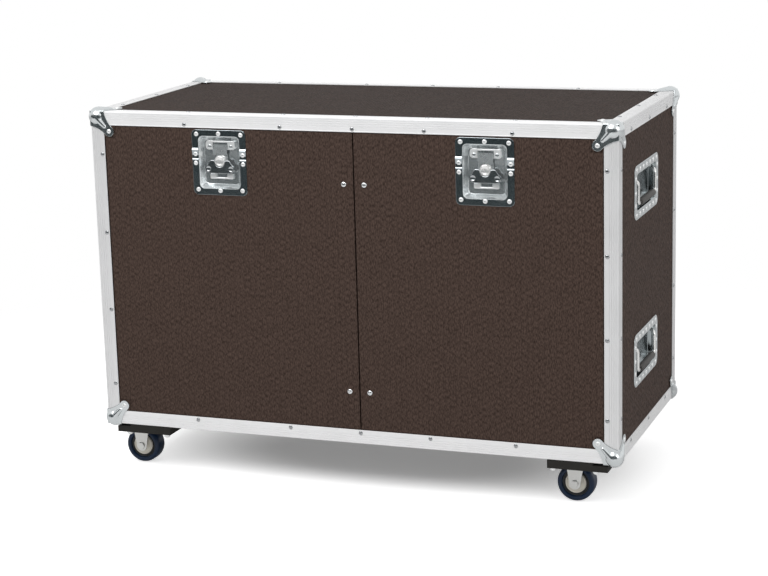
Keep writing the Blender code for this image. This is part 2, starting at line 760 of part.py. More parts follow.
def add_latch_dish(side, zinc, placing):
    """The dish with its raised keeper, whose slot takes the hook's claw, and a lower bracket."""
    dish = pressed_dish(LATCH_FLANGE, LATCH_FLANGE_RADIUS, LATCH_OPENING, LATCH_DEPTH, LATCH_WALL_SLOPE)
    part = add_part(f"{side}_latch_dish", dish, zinc, placing)
    floor = DISH_FRONT - LATCH_DEPTH
    buried = floor - DISH_THICKNESS / 2
    slot_low = HOOK_CLAW - KEEPER_SLOT_CLEARANCE[0]
    slot_high = HOOK_CLAW + HOOK_CLAW_THICKNESS + HOOK_TRAVEL + KEEPER_SLOT_CLEARANCE[1]
    keeper_low = slot_low - KEEPER_BORDER[0]
    keeper_high = slot_high + KEEPER_BORDER[1]
    middle = (0, (keeper_low + keeper_high) / 2)
    length = keeper_high - keeper_low
    edge = rounded_rectangle(2 * KEEPER_HALF_WIDTH, length, KEEPER_CORNER_RADIUS, middle)
    slot = [
        (-KEEPER_SLOT_HALF_WIDTH, slot_low),
        (KEEPER_SLOT_HALF_WIDTH, slot_low),
        (KEEPER_SLOT_HALF_WIDTH, slot_high),
        (-KEEPER_SLOT_HALF_WIDTH, slot_high),
    ]
    keeper_back = KEEPER_FRONT - KEEPER_THICKNESS
    combine(part, slab([edge, slot], keeper_back, KEEPER_FRONT), "UNION", placing)
    for direction in (-1, 1):
        foot_middle = (direction * KEEPER_FOOT_SPACING / 2, middle[1])
        foot_length = length - 2 * KEEPER_FOOT_MARGIN
        foot_edge = rounded_rectangle(KEEPER_FOOT_WIDTH, foot_length, KEEPER_FOOT_MARGIN, foot_middle)
        foot = slab([foot_edge], buried, KEEPER_FRONT - KEEPER_THICKNESS / 2)
        combine(part, foot, "UNION", placing)
    low, high = BRACKET_RISE
    notch_low = high - BRACKET_NOTCH_DEPTH
    bracket_edge = [
        (-BRACKET_HALF_WIDTH, low),
        (BRACKET_HALF_WIDTH, low),
        (BRACKET_HALF_WIDTH, high),
        (BRACKET_NOTCH_HALF_WIDTH, high),
        (BRACKET_NOTCH_HALF_WIDTH, notch_low),
        (-BRACKET_NOTCH_HALF_WIDTH, notch_low),
        (-BRACKET_NOTCH_HALF_WIDTH, high),
        (-BRACKET_HALF_WIDTH, high),
    ]
    combine(part, slab([bracket_edge], buried, floor + BRACKET_HEIGHT), "UNION", placing)


def add_latch_hook(side, steel, placing):
    """The sliding plate: a yoke window for the eccentric, a step over the keeper and a claw in its slot."""
    back = HOOK_FRONT - HOOK_THICKNESS
    raised_back = HOOK_RAISED_FRONT - HOOK_THICKNESS
    claw_tip = KEEPER_FRONT - KEEPER_THICKNESS - HOOK_CLAW_OVERREACH
    claw_end = HOOK_CLAW + HOOK_CLAW_THICKNESS
    step_above = HOOK_STEP + HOOK_THICKNESS / 2
    step_below = HOOK_STEP - HOOK_THICKNESS / 2
    side_view = [
        (HOOK_LOW, back),
        (step_above, back),
        (step_above, raised_back),
        (HOOK_CLAW, raised_back),
        (HOOK_CLAW, claw_tip),
        (claw_end, claw_tip),
        (claw_end, raised_back),
        (HOOK_END, raised_back),
        (HOOK_END, HOOK_RAISED_FRONT),
        (step_below, HOOK_RAISED_FRONT),
        (step_below, HOOK_FRONT),
        (HOOK_LOW, HOOK_FRONT),
    ]
    across = frame_at((0, 1, 0), (0, 0, 1), (0, 0, 0))
    strip = slab([side_view], -HOOK_HALF_WIDTH, HOOK_HALF_WIDTH)
    strip.transform(across)
    origin = (0, KNOB_ABOVE_CENTRE, HOOK_FRONT)
    hook = add_part(f"{side}_latch_hook", strip, steel, placing, origin)
    throw = HOOK_TRAVEL / 2
    middle = KNOB_ABOVE_CENTRE - throw
    half_width = ECCENTRIC_RADIUS + throw + RUNNING_CLEARANCE
    half_height = ECCENTRIC_RADIUS + YOKE_SLACK
    window = box(
        (-half_width, middle - half_height, back - HOOK_THICKNESS),
        (half_width, middle + half_height, HOOK_FRONT + HOOK_THICKNESS),
    )
    combine(hook, window, "DIFFERENCE", placing, solver="MANIFOLD")


def add_latch_knob(side, steel, placing):
    """The turning knob with a dished face, a rim behind it and the eccentric that moves the hook."""
    foot_back = HOOK_FRONT + RUNNING_CLEARANCE
    foot_radius = KNOB_RADIUS + KNOB_FOOT[0]
    lip_outer = KNOB_RADIUS - KNOB_CHAMFER
    lip_inner = lip_outer - KNOB_LIP
    profile = [
        (0, KNOB_FRONT - KNOB_DISH[1]),
        (lip_inner - KNOB_DISH[0], KNOB_FRONT - KNOB_DISH[1]),
        (lip_inner, KNOB_FRONT),
        (lip_outer, KNOB_FRONT),
        (KNOB_RADIUS, KNOB_FRONT - KNOB_CHAMFER),
        (KNOB_RADIUS, foot_back + KNOB_FOOT[1]),
        (foot_radius, foot_back + KNOB_FOOT[1]),
        (foot_radius, foot_back),
        (0, foot_back),
    ]
    centre = Matrix.Translation((0, KNOB_ABOVE_CENTRE, 0))
    body = turned(profile, 14)
    body.transform(centre)
    knob = add_part(f"{side}_latch_knob", body, steel, placing, (0, KNOB_ABOVE_CENTRE, 0))
    floor = DISH_FRONT - LATCH_DEPTH
    low = KNOB_ABOVE_CENTRE - HOOK_TRAVEL / 2
    eccentric = cylinder((0, low, foot_back + JOIN_OVERLAP), (0, low, floor + FIT_GAP), ECCENTRIC_RADIUS)
    combine(knob, eccentric, "UNION", placing)
    for direction in (-1, 1):
        hinge_hole = cylinder(
            (direction * (WING_PIN_START - RUNNING_CLEARANCE), WING_HINGE_HEIGHT, WING_MIDDLE),
            (direction * (KNOB_RADIUS + WING_GAP), WING_HINGE_HEIGHT, WING_MIDDLE),
            WING_HINGE_RADIUS + RUNNING_CLEARANCE,
            8,
        )
        combine(knob, hinge_hole, "DIFFERENCE", placing)
    smooth_round_faces(knob)


def wing_outline():
    """The two-lobed wing that wraps round the lower half of the knob."""
    half = arc((0, KNOB_ABOVE_CENTRE), KNOB_RADIUS + WING_GAP, -90, 6, 6)
    half.extend(WING_SHOULDERS)
    half.extend(arc(WING_LOBE, WING_LOBE_RADIUS, 62, -62, 5))
    half.append(WING_TOE)
    mirrored = [(-across, up) for across, up in reversed(half[1:])]
    return half + mirrored


def add_latch_wing(side, steel, placing):
    low = WING_MIDDLE - WING_THICKNESS / 2
    high = WING_MIDDLE + WING_THICKNESS / 2
    plate = slab([wing_outline()], low, high)
    origin = (0, WING_HINGE_HEIGHT, WING_MIDDLE)
    wing = add_part(f"{side}_latch_wing", plate, steel, placing, origin)
    for direction in (-1, 1):
        pin = cylinder(
            (direction * WING_PIN_START, WING_HINGE_HEIGHT, WING_MIDDLE),
            (direction * WING_PIN_END, WING_HINGE_HEIGHT, WING_MIDDLE),
            WING_HINGE_RADIUS,
            8,
        )
        combine(wing, pin, "UNION", placing)
        lobe = (direction * WING_DIMPLE_SPACING / 2, WING_LOBE[1])
        bottom = high - WING_DIMPLE_DEPTH
        dimple = cylinder((*lobe, bottom), (*lobe, high + WING_DIMPLE_DEPTH), WING_DIMPLE_RADIUS)
        combine(wing, dimple, "DIFFERENCE", placing)


def add_latch(side, zinc, steel):
    centre = (latch_centre_x(side), LATCH_CENTRE_HEIGHT, -DOOR_SETBACK)
    placing = FRONT_FRAME @ Matrix.Translation(centre)
    add_latch_dish(side, zinc, placing)
    add_latch_hook(side, steel, placing)
    add_latch_knob(side, steel, placing)
    add_latch_wing(side, steel, placing)


# Recessed bail handles


def add_handle_dish(name, zinc, placing, axis):
    """The dish with a hole in each end wall for the bail."""
    dish = pressed_dish(
        HANDLE_FLANGE, HANDLE_FLANGE_RADIUS, HANDLE_OPENING, HANDLE_DEPTH, HANDLE_WALL_SLOPE
    )
    part = add_part(f"{name}_handle_dish", dish, zinc, placing)
    wall = HANDLE_OPENING[0] / 2
    for direction in (-1, 1):
        start = (direction * (wall - 2 * HANDLE_WALL_SLOPE), axis[1], axis[2])
        end = (direction * (wall + 2 * HANDLE_WALL_SLOPE), axis[1], axis[2])
        combine(part, cylinder(start, end, BAIL_RADIUS + RUNNING_CLEARANCE), "DIFFERENCE", placing)


def bail_path():
    """Half turns at the pivots, two arms cranked outward and a lower bar, drawn about the pivot axis."""
    bend = BAIL_BEND_RADIUS
    end = HANDLE_OPENING[0] / 2 + BAIL_PIVOT_REACH
    upper_bend = arc((BAIL_HALF_WIDTH + bend, -bend), bend, 90, 180, 2)
    lower_bend = arc((BAIL_HALF_WIDTH - bend, -BAIL_HEIGHT + bend), bend, 0, -90, 2)
    right_side = [(end, 0, 0)]
    right_side += [(across, up, 0) for across, up in upper_bend]
    right_side += [(BAIL_HALF_WIDTH, -bend - BAIL_CRANK_RUN, BAIL_CRANK)]
    right_side += [(across, up, BAIL_CRANK) for across, up in lower_bend]
    left_side = [(-across, up, out) for across, up, out in reversed(right_side)]
    return right_side + left_side


def add_handle_bail(name, rubber, placing, axis):
    """A bent steel rod with a rubber grip, hanging in the dish from its two pivot ends."""
    grip_place = (0, axis[1] - BAIL_HEIGHT, axis[2] + BAIL_CRANK)
    grip = turned(
        [
            (0, GRIP_LENGTH / 2),
            (GRIP_RADIUS - GRIP_CHAMFER, GRIP_LENGTH / 2),
            (GRIP_RADIUS, GRIP_LENGTH / 2 - GRIP_CHAMFER),
            (GRIP_RADIUS, -GRIP_LENGTH / 2 + GRIP_CHAMFER),
            (GRIP_RADIUS - GRIP_CHAMFER, -GRIP_LENGTH / 2),
            (0, -GRIP_LENGTH / 2),
        ],
        8,
    )
    grip.transform(Matrix.Translation(grip_place) @ Matrix.Rotation(math.pi / 2, 4, "Y"))
    bail = add_part(f"{name}_handle_bail", grip, rubber, placing, axis)
    path = [(across, axis[1] + up, axis[2] + out) for across, up, out in bail_path()]
    combine(bail, rod(path, BAIL_RADIUS), "UNION", placing)
    smooth_round_faces(bail)


def add_handles(zinc, rubber):
    for side, side_frame in SIDE_FRAMES.items():
        direction = 1 if side == "right" else -1
        for level, height in HANDLE_HEIGHTS.items():
            centre = (direction * HANDLE_BEHIND_FRONT, height, -PANEL_INSET)
            placing = side_frame @ Matrix.Translation(centre)
            axis = (0, BAIL_AXIS_ABOVE_CENTRE, DISH_FRONT - BAIL_AXIS_DEPTH)
            add_handle_dish(f"{side}_{level}", zinc, placing, axis)
            add_handle_bail(f"{side}_{level}", rubber, placing, axis)


# Caster boards


def add_caster_board(side, black_wood):
    """A runner under one end, with an opening for each caster and pockets over the ball corners."""
    direction = 1 if side == "right" else -1
    edge = [
        (direction * BOARD_INNER_X, -HALF_DEPTH),
        (direction * BOARD_OUTER_X, -HALF_DEPTH),
        (direction * BOARD_OUTER_X, HALF_DEPTH),
        (direction * BOARD_INNER_X, HALF_DEPTH),
    ]
    openings = []
    for depth in (-1, 1):
        centre = (direction * CASTER_X, depth * (HALF_DEPTH - CASTER_BEHIND_FRONT))
        opening_width = CASTER_PLATE[0] + 2 * BOARD_OPENING_CLEARANCE
        opening_length = CASTER_PLATE[1] + 2 * BOARD_OPENING_CLEARANCE
        opening = rounded_rectangle(opening_width, opening_length, BOARD_OPENING_CORNER, centre)
        openings.append(opening)
    top = UNDERSIDE - FIT_GAP
    board = add_part(
        f"{side}_caster_board", slab([edge, *openings], top - BOARD_THICKNESS, top), black_wood
    )
    reach = CORNER_TIP_REACH + BOARD_POCKET_CLEARANCE
    for depth in (-1, 1):
        inner = (direction * (HALF_WIDTH - reach), depth * (HALF_DEPTH - reach))
        outer = (direction * (HALF_WIDTH + reach), depth * (HALF_DEPTH + reach))
        low = (min(inner[0], outer[0]), min(inner[1], outer[1]), top - BOARD_CORNER_POCKET)
        high = (max(inner[0], outer[0]), max(inner[1], outer[1]), top + BOARD_THICKNESS)
        combine(board, box(low, high), "DIFFERENCE")


# Swivel casters


def add_swivel_plate(name, zinc, placing):
    """The bolted plate with the upper race, the kingpin and the head that holds the fork up."""
    width, length, thickness = CASTER_PLATE
    top = PANEL_INSET - FIT_GAP
    plate = slab([rounded_rectangle(width, length, CASTER_PLATE_CORNER)], top - thickness, top)
    part = add_part(f"{name}_swivel_plate", plate, zinc, placing)
    race = turned(
        [
            (0, top - thickness / 2),
            (RACE_RADIUS, top - thickness / 2),
            (RACE_RADIUS, -RACE_SHOULDER_DROP),
            (RACE_RADIUS - RACE_TAPER, -RACE_DROP),
            (KINGPIN_RADIUS, -RACE_DROP),
            (KINGPIN_RADIUS, CROWN_LOW - RUNNING_CLEARANCE),
            (KINGPIN_HEAD[0], CROWN_LOW - RUNNING_CLEARANCE),
            (KINGPIN_HEAD[0], CROWN_LOW - KINGPIN_HEAD[1]),
            (0, CROWN_LOW - KINGPIN_HEAD[1]),
        ],
        12,
    )
    combine(part, race, "UNION", placing)
    smooth_round_faces(part)


def fork_leg_outline():
    """One cheek of the fork in side view, from the crown down to the axle boss."""
    rear, front = FORK_TOP_REACH
    top = -CROWN_DROP - FIT_GAP
    boss = arc((-CASTER_TRAIL, -AXLE_DROP), FORK_BOSS_RADIUS, 20, -180, 6)
    front_edge = [(-rear, top), (front, top), (front, -CROWN_DROP - FORK_STRAIGHT[1])]
    return [*front_edge, *boss, (-rear - FORK_FLARE, -CROWN_DROP - FORK_STRAIGHT[0])]


def add_fork(name, zinc, placing):
    """Crown with the lower race, two cheeks, and the axle bolt with its head and nut."""
    outer = FORK_INNER + FORK_THICKNESS
    crown = slab([rounded_rectangle(CROWN_LENGTH, 2 * outer, CASTER_PLATE_CORNER)], CROWN_LOW, -CROWN_DROP)
    fork = add_part(f"{name}_fork", crown, zinc, placing)
    ring_top = -RACE_DROP - RUNNING_CLEARANCE
    ring = cylinder((0, 0, -CROWN_DROP - JOIN_OVERLAP), (0, 0, ring_top), CROWN_RING_RADIUS)
    combine(fork, ring, "UNION", placing)
    stand = frame_at((1, 0, 0), (0, 0, 1), (0, 0, 0))
    for low in (-outer, FORK_INNER):
        cheek = slab([fork_leg_outline()], low, low + FORK_THICKNESS)
        cheek.transform(stand)
        combine(fork, cheek, "UNION", placing)
    half_length = outer + JOIN_OVERLAP
    start = (-CASTER_TRAIL, -half_length, -AXLE_DROP)
    end = (-CASTER_TRAIL, half_length, -AXLE_DROP)
    combine(fork, cylinder(start, end, AXLE_RADIUS, 8), "UNION", placing)
    for direction in (-1, 1):
        start = (-CASTER_TRAIL, direction * (outer - JOIN_OVERLAP), -AXLE_DROP)
        end = (-CASTER_TRAIL, direction * (outer + AXLE_NUT[1]), -AXLE_DROP)
        combine(fork, cylinder(start, end, AXLE_NUT[0], 6), "UNION", placing)
    bore_low = (0, 0, CROWN_LOW - CROWN_THICKNESS)
    bore_high = (0, 0, ring_top + CROWN_THICKNESS)
    bore = cylinder(bore_low, bore_high, KINGPIN_RADIUS + RUNNING_CLEARANCE)
    combine(fork, bore, "DIFFERENCE", placing)


def add_wheel(name, tyre, placing):
    """Tyre and hub in one: a broad tread, a recess on each side and a hub that fills the fork."""
    half = WHEEL_WIDTH / 2
    upper = [
        (AXLE_RADIUS + RUNNING_CLEARANCE, HUB_HALF_WIDTH),
        (HUB_RADII[0], HUB_HALF_WIDTH),
        (HUB_RADII[1], HUB_WEB_HALF_WIDTH),
        (WHEEL_RADIUS - TYRE_SIDE[0], HUB_WEB_HALF_WIDTH),
        (WHEEL_RADIUS - TYRE_SIDE[1], half),
        (WHEEL_RADIUS - TYRE_SHOULDER[0], half - TYRE_SHOULDER[1]),
        (WHEEL_RADIUS, half - TYRE_TREAD_CORNER),
    ]
    profile = upper + [(radius, -height) for radius, height in reversed(upper)]
    body = turned(profile, WHEEL_STEPS, closed=True)
    body.transform(Matrix.Rotation(math.pi / 2, 4, "X"))
    centre = (-CASTER_TRAIL, 0, -AXLE_DROP)
    body.transform(Matrix.Translation(centre))
    wheel = add_part(f"{name}_wheel", body, tyre, placing, centre)
    smooth_round_faces(wheel)


def add_casters(zinc, tyre):
    for depth, depth_name in ((-1, "front"), (1, "back")):
        for direction, side_name in ((-1, "left"), (1, "right")):
            centre = (
                direction * CASTER_X,
                depth * (HALF_DEPTH - CASTER_BEHIND_FRONT),
                UNDERSIDE,
            )
            placing = Matrix.Translation(centre)
            name = f"{depth_name}_{side_name}"
            add_swivel_plate(name, zinc, placing)
            add_fork(name, zinc, placing)
            add_wheel(name, tyre, placing)


# Frames of the front and the sides

FRONT_FRAME = frame_at((1, 0, 0), (0, 0, 1), (0, -HALF_DEPTH, UNDERSIDE))
SIDE_FRAMES = {
    "left": frame_at((0, -1, 0), (0, 0, 1), (-HALF_WIDTH, -HALF_DEPTH, UNDERSIDE)),
    "right": frame_at((0, 1, 0), (0, 0, 1), (HALF_WIDTH, -HALF_DEPTH, UNDERSIDE)),
}

clear_scene()
PARTS = new_collection("multicore_case")
CUTTERS = new_collection("cutters")

plywood = material("plywood", (0.055, 0.042, 0.036), 0.0, 0.55)
batten_wood = material("batten_wood", (0.45, 0.33, 0.20), 0.0, 0.7)
black_wood = material("black_wood", (0.025, 0.024, 0.023), 0.0, 0.7)
aluminium = material("aluminium", (0.78, 0.79, 0.80), 1.0, 0.3)
zinc = material("zinc", (0.62, 0.64, 0.66), 1.0, 0.3)
steel = material("steel", (0.70, 0.70, 0.70), 1.0, 0.2)
rubber = material("rubber", (0.09, 0.08, 0.075), 0.0, 0.7)
tyre = material("tyre", (0.02, 0.03, 0.06), 0.0, 0.5)

add_corner_covers(zinc)
add_body_panels(plywood)
add_edge_angles(aluminium)
add_door_frame(plywood)
for door_side in ("left", "right"):
    add_door(door_side, plywood)
    add_door_batten(door_side, batten_wood)
    add_latch(door_side, zinc, steel)
    add_caster_board(door_side, black_wood)
add_handles(zinc, rubber)
add_casters(zinc, tyre)
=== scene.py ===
import math
from itertools import product

import bmesh
import bpy
from mathutils import Matrix, Vector


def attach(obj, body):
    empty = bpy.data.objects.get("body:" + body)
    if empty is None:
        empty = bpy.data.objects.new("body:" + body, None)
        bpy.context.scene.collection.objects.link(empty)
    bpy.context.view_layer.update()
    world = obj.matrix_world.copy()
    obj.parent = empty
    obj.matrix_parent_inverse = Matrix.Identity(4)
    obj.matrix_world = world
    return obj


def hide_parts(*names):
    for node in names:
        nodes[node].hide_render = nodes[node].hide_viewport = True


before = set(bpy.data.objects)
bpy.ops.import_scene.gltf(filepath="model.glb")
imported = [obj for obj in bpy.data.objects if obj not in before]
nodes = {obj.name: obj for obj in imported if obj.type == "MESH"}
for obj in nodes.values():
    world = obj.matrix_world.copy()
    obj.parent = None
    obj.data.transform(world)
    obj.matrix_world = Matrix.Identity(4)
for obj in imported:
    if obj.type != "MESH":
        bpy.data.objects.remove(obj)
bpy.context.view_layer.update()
scene = bpy.context.scene

# Camera, at the place that the body's edges in the photograph give: about 20 degrees to the right of
# the doors and 13 degrees above them, with a long lens and a slight roll.

azimuth = math.radians(20.39)
elevation = math.radians(12.90)
roll = math.radians(-1.52)
camera_place = (1.4946, -4.0711, 1.3793)
camera_lens = 93.93
camera_back = Vector((
    math.sin(azimuth) * math.cos(elevation),
    -math.cos(azimuth) * math.cos(elevation),
    math.sin(elevation),
))
level_right = Vector((math.cos(azimuth), math.sin(azimuth), 0))
level_up = camera_back.cross(level_right)
camera_right = math.cos(roll) * level_right + math.sin(roll) * level_up
camera_up = -math.sin(roll) * level_right + math.cos(roll) * level_up


def in_scene(name, data):
    """A new object that holds some data, linked to the scene."""
    made = bpy.data.objects.new(name, data)
    scene.collection.objects.link(made)
    return made


camera_data = bpy.data.cameras.new("camera")
camera_data.sensor_width = 36
camera_data.lens = camera_lens
camera = in_scene("camera", camera_data)
camera_axes = Matrix((camera_right, camera_up, camera_back)).transposed().to_4x4()
camera.matrix_world = Matrix.Translation(camera_place) @ camera_axes
scene.camera = camera
scene.view_settings.view_transform = "Standard"

# Studio: a plain white surround, one large soft lamp above the front left and a wide weak one on the right,
# and a pale floor that keeps the case's shadow, with a painted glow that is weaker under the case as painted
# shade.

white = (1, 1, 1, 1)
surround_strength = 0.55
lamp_aim = Vector((0, 0, 0.4))
painted_shade_reach = (0.64, 0.31)


def wire(tree, node, inputs):
    """Set a node's inputs by name or number, each to a value or to another node's output."""
    for place, value in inputs.items():
        if isinstance(value, bpy.types.NodeSocket):
            tree.links.new(value, node.inputs[place])
        else:
            node.inputs[place].default_value = value


def new_node(tree, kind, inputs, output=0, **settings):
    """One output of a new node, once its settings and its inputs are set."""
    node = tree.nodes.new(kind)
    for setting, value in settings.items():
        setattr(node, setting, value)
    wire(tree, node, inputs)
    return node.outputs[output]


def math_node(tree, operation, *values):
    """One Math node on numbers or on other nodes' outputs."""
    return new_node(tree, "ShaderNodeMath", dict(enumerate(values)), operation=operation)


world = bpy.data.worlds.new("surround")
world.use_nodes = True
scene.world = world
sky = world.node_tree
sky_light = sky.nodes["Background"]
wire(sky, sky_light, {"Color": white, "Strength": surround_strength})
sky_seen = new_node(sky, "ShaderNodeBackground", {"Color": white})
any_seen = 0.0
for ray in ("Is Camera Ray", "Is Glossy Ray", "Is Transmission Ray"):
    any_seen = math_node(sky, "MAXIMUM", any_seen, new_node(sky, "ShaderNodeLightPath", {}, ray))
sky_choice = new_node(sky, "ShaderNodeMixShader", {0: any_seen, 1: sky_light.outputs[0], 2: sky_seen})
wire(sky, sky.nodes["World Output"], {"Surface": sky_choice})


def soft_lamp(name, place, width, height, power):
    lamp_data = bpy.data.lights.new(name, "AREA")
    lamp_data.shape = "RECTANGLE"
    lamp_data.size = width
    lamp_data.size_y = height
    lamp_data.energy = power
    lamp = in_scene(name, lamp_data)
    lamp.location = place
    lamp.rotation_euler = (lamp_aim - Vector(place)).to_track_quat("-Z", "Y").to_euler()


soft_lamp("top_lamp", (-0.7, -2.2, 2.7), width=2.4, height=1.8, power=58)
soft_lamp("side_lamp", (3.0, -2.0, 1.8), width=1.6, height=1.6, power=18)


def new_material(name, inputs):
    """A material, its node tree and its shader, whose inputs start at these values."""
    made = bpy.data.materials.new(name)
    made.use_nodes = True
    shader = made.node_tree.nodes["Principled BSDF"]
    wire(made.node_tree, shader, inputs)
    return made, made.node_tree, shader


def flat_card(name, corners, colour):
    """A matt card that belongs to the studio."""
    card_mesh = bpy.data.meshes.new(name)
    card_mesh.from_pydata(corners, [], [tuple(range(len(corners)))])
    card_mesh.materials.append(new_material(name, {"Base Color": (*colour, 1), "Roughness": 0.9})[0])
    card = in_scene(name, card_mesh)
    return card


def object_place(tree):
    """Each point's place in its object's own coordinates."""
    return new_node(tree, "ShaderNodeTexCoord", {}, "Object")


def fade(tree, place, near, far, low, high):
    """A level that goes smoothly from low to high between two distances from the origin."""
    reach = new_node(tree, "ShaderNodeVectorMath", {0: place}, "Value", operation="LENGTH")
    limits = {"Value": reach, "From Min": near, "From Max": far, "To Min": low, "To Max": high}
    return new_node(tree, "ShaderNodeMapRange", limits, interpolation_type="SMOOTHSTEP")


floor_corners = [(-9, -9, -0.0005), (9, -9, -0.0005), (9, 9, -0.0005), (-9, 9, -0.0005)]
floor = flat_card("floor", floor_corners, (0.93, 0.93, 0.93))
floor_tree = floor.data.materials[0].node_tree
floor_paint = floor_tree.nodes["Principled BSDF"].outputs[0]
floor_place = object_place(floor_tree)
# Painted glow on the floor, seen only by the camera: weakest under the case, where it leaves a painted shade,
# and stronger farther out, as painted light.
floor_scale = [1 / reach for reach in (*painted_shade_reach, 1)]
under_case = new_node(floor_tree, "ShaderNodeMapping", {"Vector": floor_place, "Scale": floor_scale})
painted_glow_strength = fade(floor_tree, under_case, near=0.40, far=1.0, low=0.20, high=0.60)
painted_floor_glow = new_node(floor_tree, "ShaderNodeEmission", {"Strength": painted_glow_strength})
floor_near = new_node(floor_tree, "ShaderNodeAddShader", {0: floor_paint, 1: painted_floor_glow})
floor_far = new_node(floor_tree, "ShaderNodeEmission", {})
distance = fade(floor_tree, floor_place, near=0.9, far=1.9, low=0.0, high=1.0)
floor_seen = new_node(floor_tree, "ShaderNodeMixShader", {0: distance, 1: floor_near, 2: floor_far})
camera_ray = new_node(floor_tree, "ShaderNodeLightPath", {}, "Is Camera Ray")
floor_choice = new_node(floor_tree, "ShaderNodeMixShader", {0: camera_ray, 1: floor_paint, 2: floor_seen})
wire(floor_tree, floor_tree.nodes["Material Output"], {"Surface": floor_choice})

# A dark screen in front of the case, seen only in polished metal, as the dark end of a studio is.

screen_corners = [(-7, -2.1, 0.02), (2.5, -2.1, 0.02), (2.5, -2.1, 1.5), (-7, -2.1, 1.5)]
screen = flat_card("dark_screen", screen_corners, (0.060, 0.078, 0.082))
for ray in ("camera", "diffuse", "shadow", "transmission"):
    setattr(screen, f"visible_{ray}", False)

# Boards: birch ply with a dark brown film, pressed with a relief of upright hexagons over a fine wire
# mesh. The doors and the fixed boards are the solids themselves, so only the finish is added here.

film_colour = (0.0195, 0.0115, 0.0085)
film_light_colour = (0.0885, 0.0590, 0.0480)
film_relief_depth = 0.0008
hexagon_column_pitch = 0.0120
hexagon_height = 0.0145
wire_pitch = 0.0014
wire_height = 0.35
thread_scales = {"across": 460.0, "up": 150.0, "through": 100.0}
thread_noise_span = 0.14
light_shares = {"mottle": 0.15, "hexagons": 0.13, "threads": 0.57, "wires": 0.15}


def centred_remainder(tree, value, pitch, shift):
    """How far a coordinate lies from the nearest line of a row of lines."""
    moved = math_node(tree, "ADD", value, shift + pitch / 2)
    wrapped = math_node(tree, "FLOORED_MODULO", moved, pitch)
    return math_node(tree, "ABSOLUTE", math_node(tree, "SUBTRACT", wrapped, pitch / 2))


def hexagon_edge(tree, across, up):
    """From 0 at a hexagon's middle to 1 on the lines between hexagons, the nearer of two lattices."""
    spans = []
    for shift_across, shift_up in ((0, 0), (hexagon_column_pitch, hexagon_height / 2)):
        side = centred_remainder(tree, across, 2 * hexagon_column_pitch, shift_across)
        rise = centred_remainder(tree, up, hexagon_height, shift_up)
        flat = math_node(tree, "DIVIDE", rise, hexagon_height / 2)
        side_part = math_node(tree, "DIVIDE", side, 0.75 * hexagon_column_pitch)
        rise_part = math_node(tree, "DIVIDE", rise, 0.75 * hexagon_height)
        spans.append(math_node(tree, "MAXIMUM", flat, math_node(tree, "ADD", side_part, rise_part)))
    return math_node(tree, "MINIMUM", *spans)


def noise(tree, place, scale, detail):
    return new_node(tree, "ShaderNodeTexNoise", {"Vector": place, "Scale": scale, "Detail": detail})


def shaded(colour, share):
    """A colour made darker or lighter."""
    return [share * channel for channel in colour]


def uneven(tree, shader, colour, roughness, relief):
    """Give a shader an uneven colour, roughness and surface.

    Colour is a level and the two colours it goes between, roughness is a level, its span and its lowest
    value, and relief is a height, its strength and its depth in metres.
    """
    mix = {"Factor": colour[0], "A": (*colour[1], 1), "B": (*colour[2], 1)}
    bump = {"Height": relief[0], "Strength": relief[1], "Distance": relief[2]}
    wire(tree, shader, {
        "Base Color": new_node(tree, "ShaderNodeMix", mix, "Result", data_type="RGBA"),
        "Roughness": math_node(tree, "MULTIPLY_ADD", *roughness),
        "Normal": new_node(tree, "ShaderNodeBump", bump),
    })


def film_material(name, across_axis, up_axis, painted_shade=1.0, contrast=1.0):
    """The film on boards that face one way. Its threads run along the up axis. A painted shade share darkens
    its colours.
    """
    made, tree, shader = new_material(name, {"Specular IOR Level": 0.08})
    place = object_place(tree)
    across = new_node(tree, "ShaderNodeSeparateXYZ", {0: place}, across_axis)
    up = new_node(tree, "ShaderNodeSeparateXYZ", {0: place}, up_axis)
    edge_limits = {"Value": hexagon_edge(tree, across, up), "From Min": 1.0, "From Max": 0.55}
    edge = new_node(tree, "ShaderNodeMapRange", edge_limits, interpolation_type="SMOOTHSTEP")
    slopes = [math_node(tree, operation, across, up) for operation in ("ADD", "SUBTRACT")]
    wires = math_node(tree, "MAXIMUM", *[centred_remainder(tree, slope, wire_pitch, 0) for slope in slopes])
    scales = {across_axis: thread_scales["across"] / contrast, up_axis: thread_scales["up"]}
    scale = [scales.get(axis, thread_scales["through"]) for axis in "XYZ"]
    along = new_node(tree, "ShaderNodeMapping", {"Vector": place, "Scale": scale})
    span = thread_noise_span / contrast
    thread_limits = {"Value": noise(tree, along, 1.0, 2.0), "From Min": 0.5 - span, "From Max": 0.5 + span}
    threads = new_node(tree, "ShaderNodeMapRange", thread_limits)
    mottle = noise(tree, place, 38.0, 4.0)
    lightness = math_node(tree, "MULTIPLY", mottle, light_shares["mottle"])
    lightness = math_node(tree, "MULTIPLY_ADD", edge, light_shares["hexagons"], lightness)
    lightness = math_node(tree, "MULTIPLY_ADD", threads, light_shares["threads"], lightness)
    lightness = math_node(tree, "MULTIPLY_ADD", wires, light_shares["wires"] / wire_pitch, lightness)
    relief = math_node(tree, "MULTIPLY_ADD", wires, wire_height / wire_pitch, edge)
    colour = (lightness, shaded(film_colour, painted_shade), shaded(film_light_colour, painted_shade))
    uneven(tree, shader, colour, (mottle, 0.12, 0.62), (relief, 0.6, film_relief_depth))
    return made


front_film = film_material("film_on_doors", "X", "Z")
side_film = film_material("film_on_sides", "Y", "Z", contrast=2.4)
# The top's film is the doors' film painted darker, as painted shade on the top.
top_film_painted_darker = film_material("film_on_top_painted_darker", "X", "Y", painted_shade=0.60, contrast=1.6)


def finish_nodes(names, finish):
    for name in names:
        nodes[name].data.materials.clear()
        nodes[name].data.materials.append(finish)


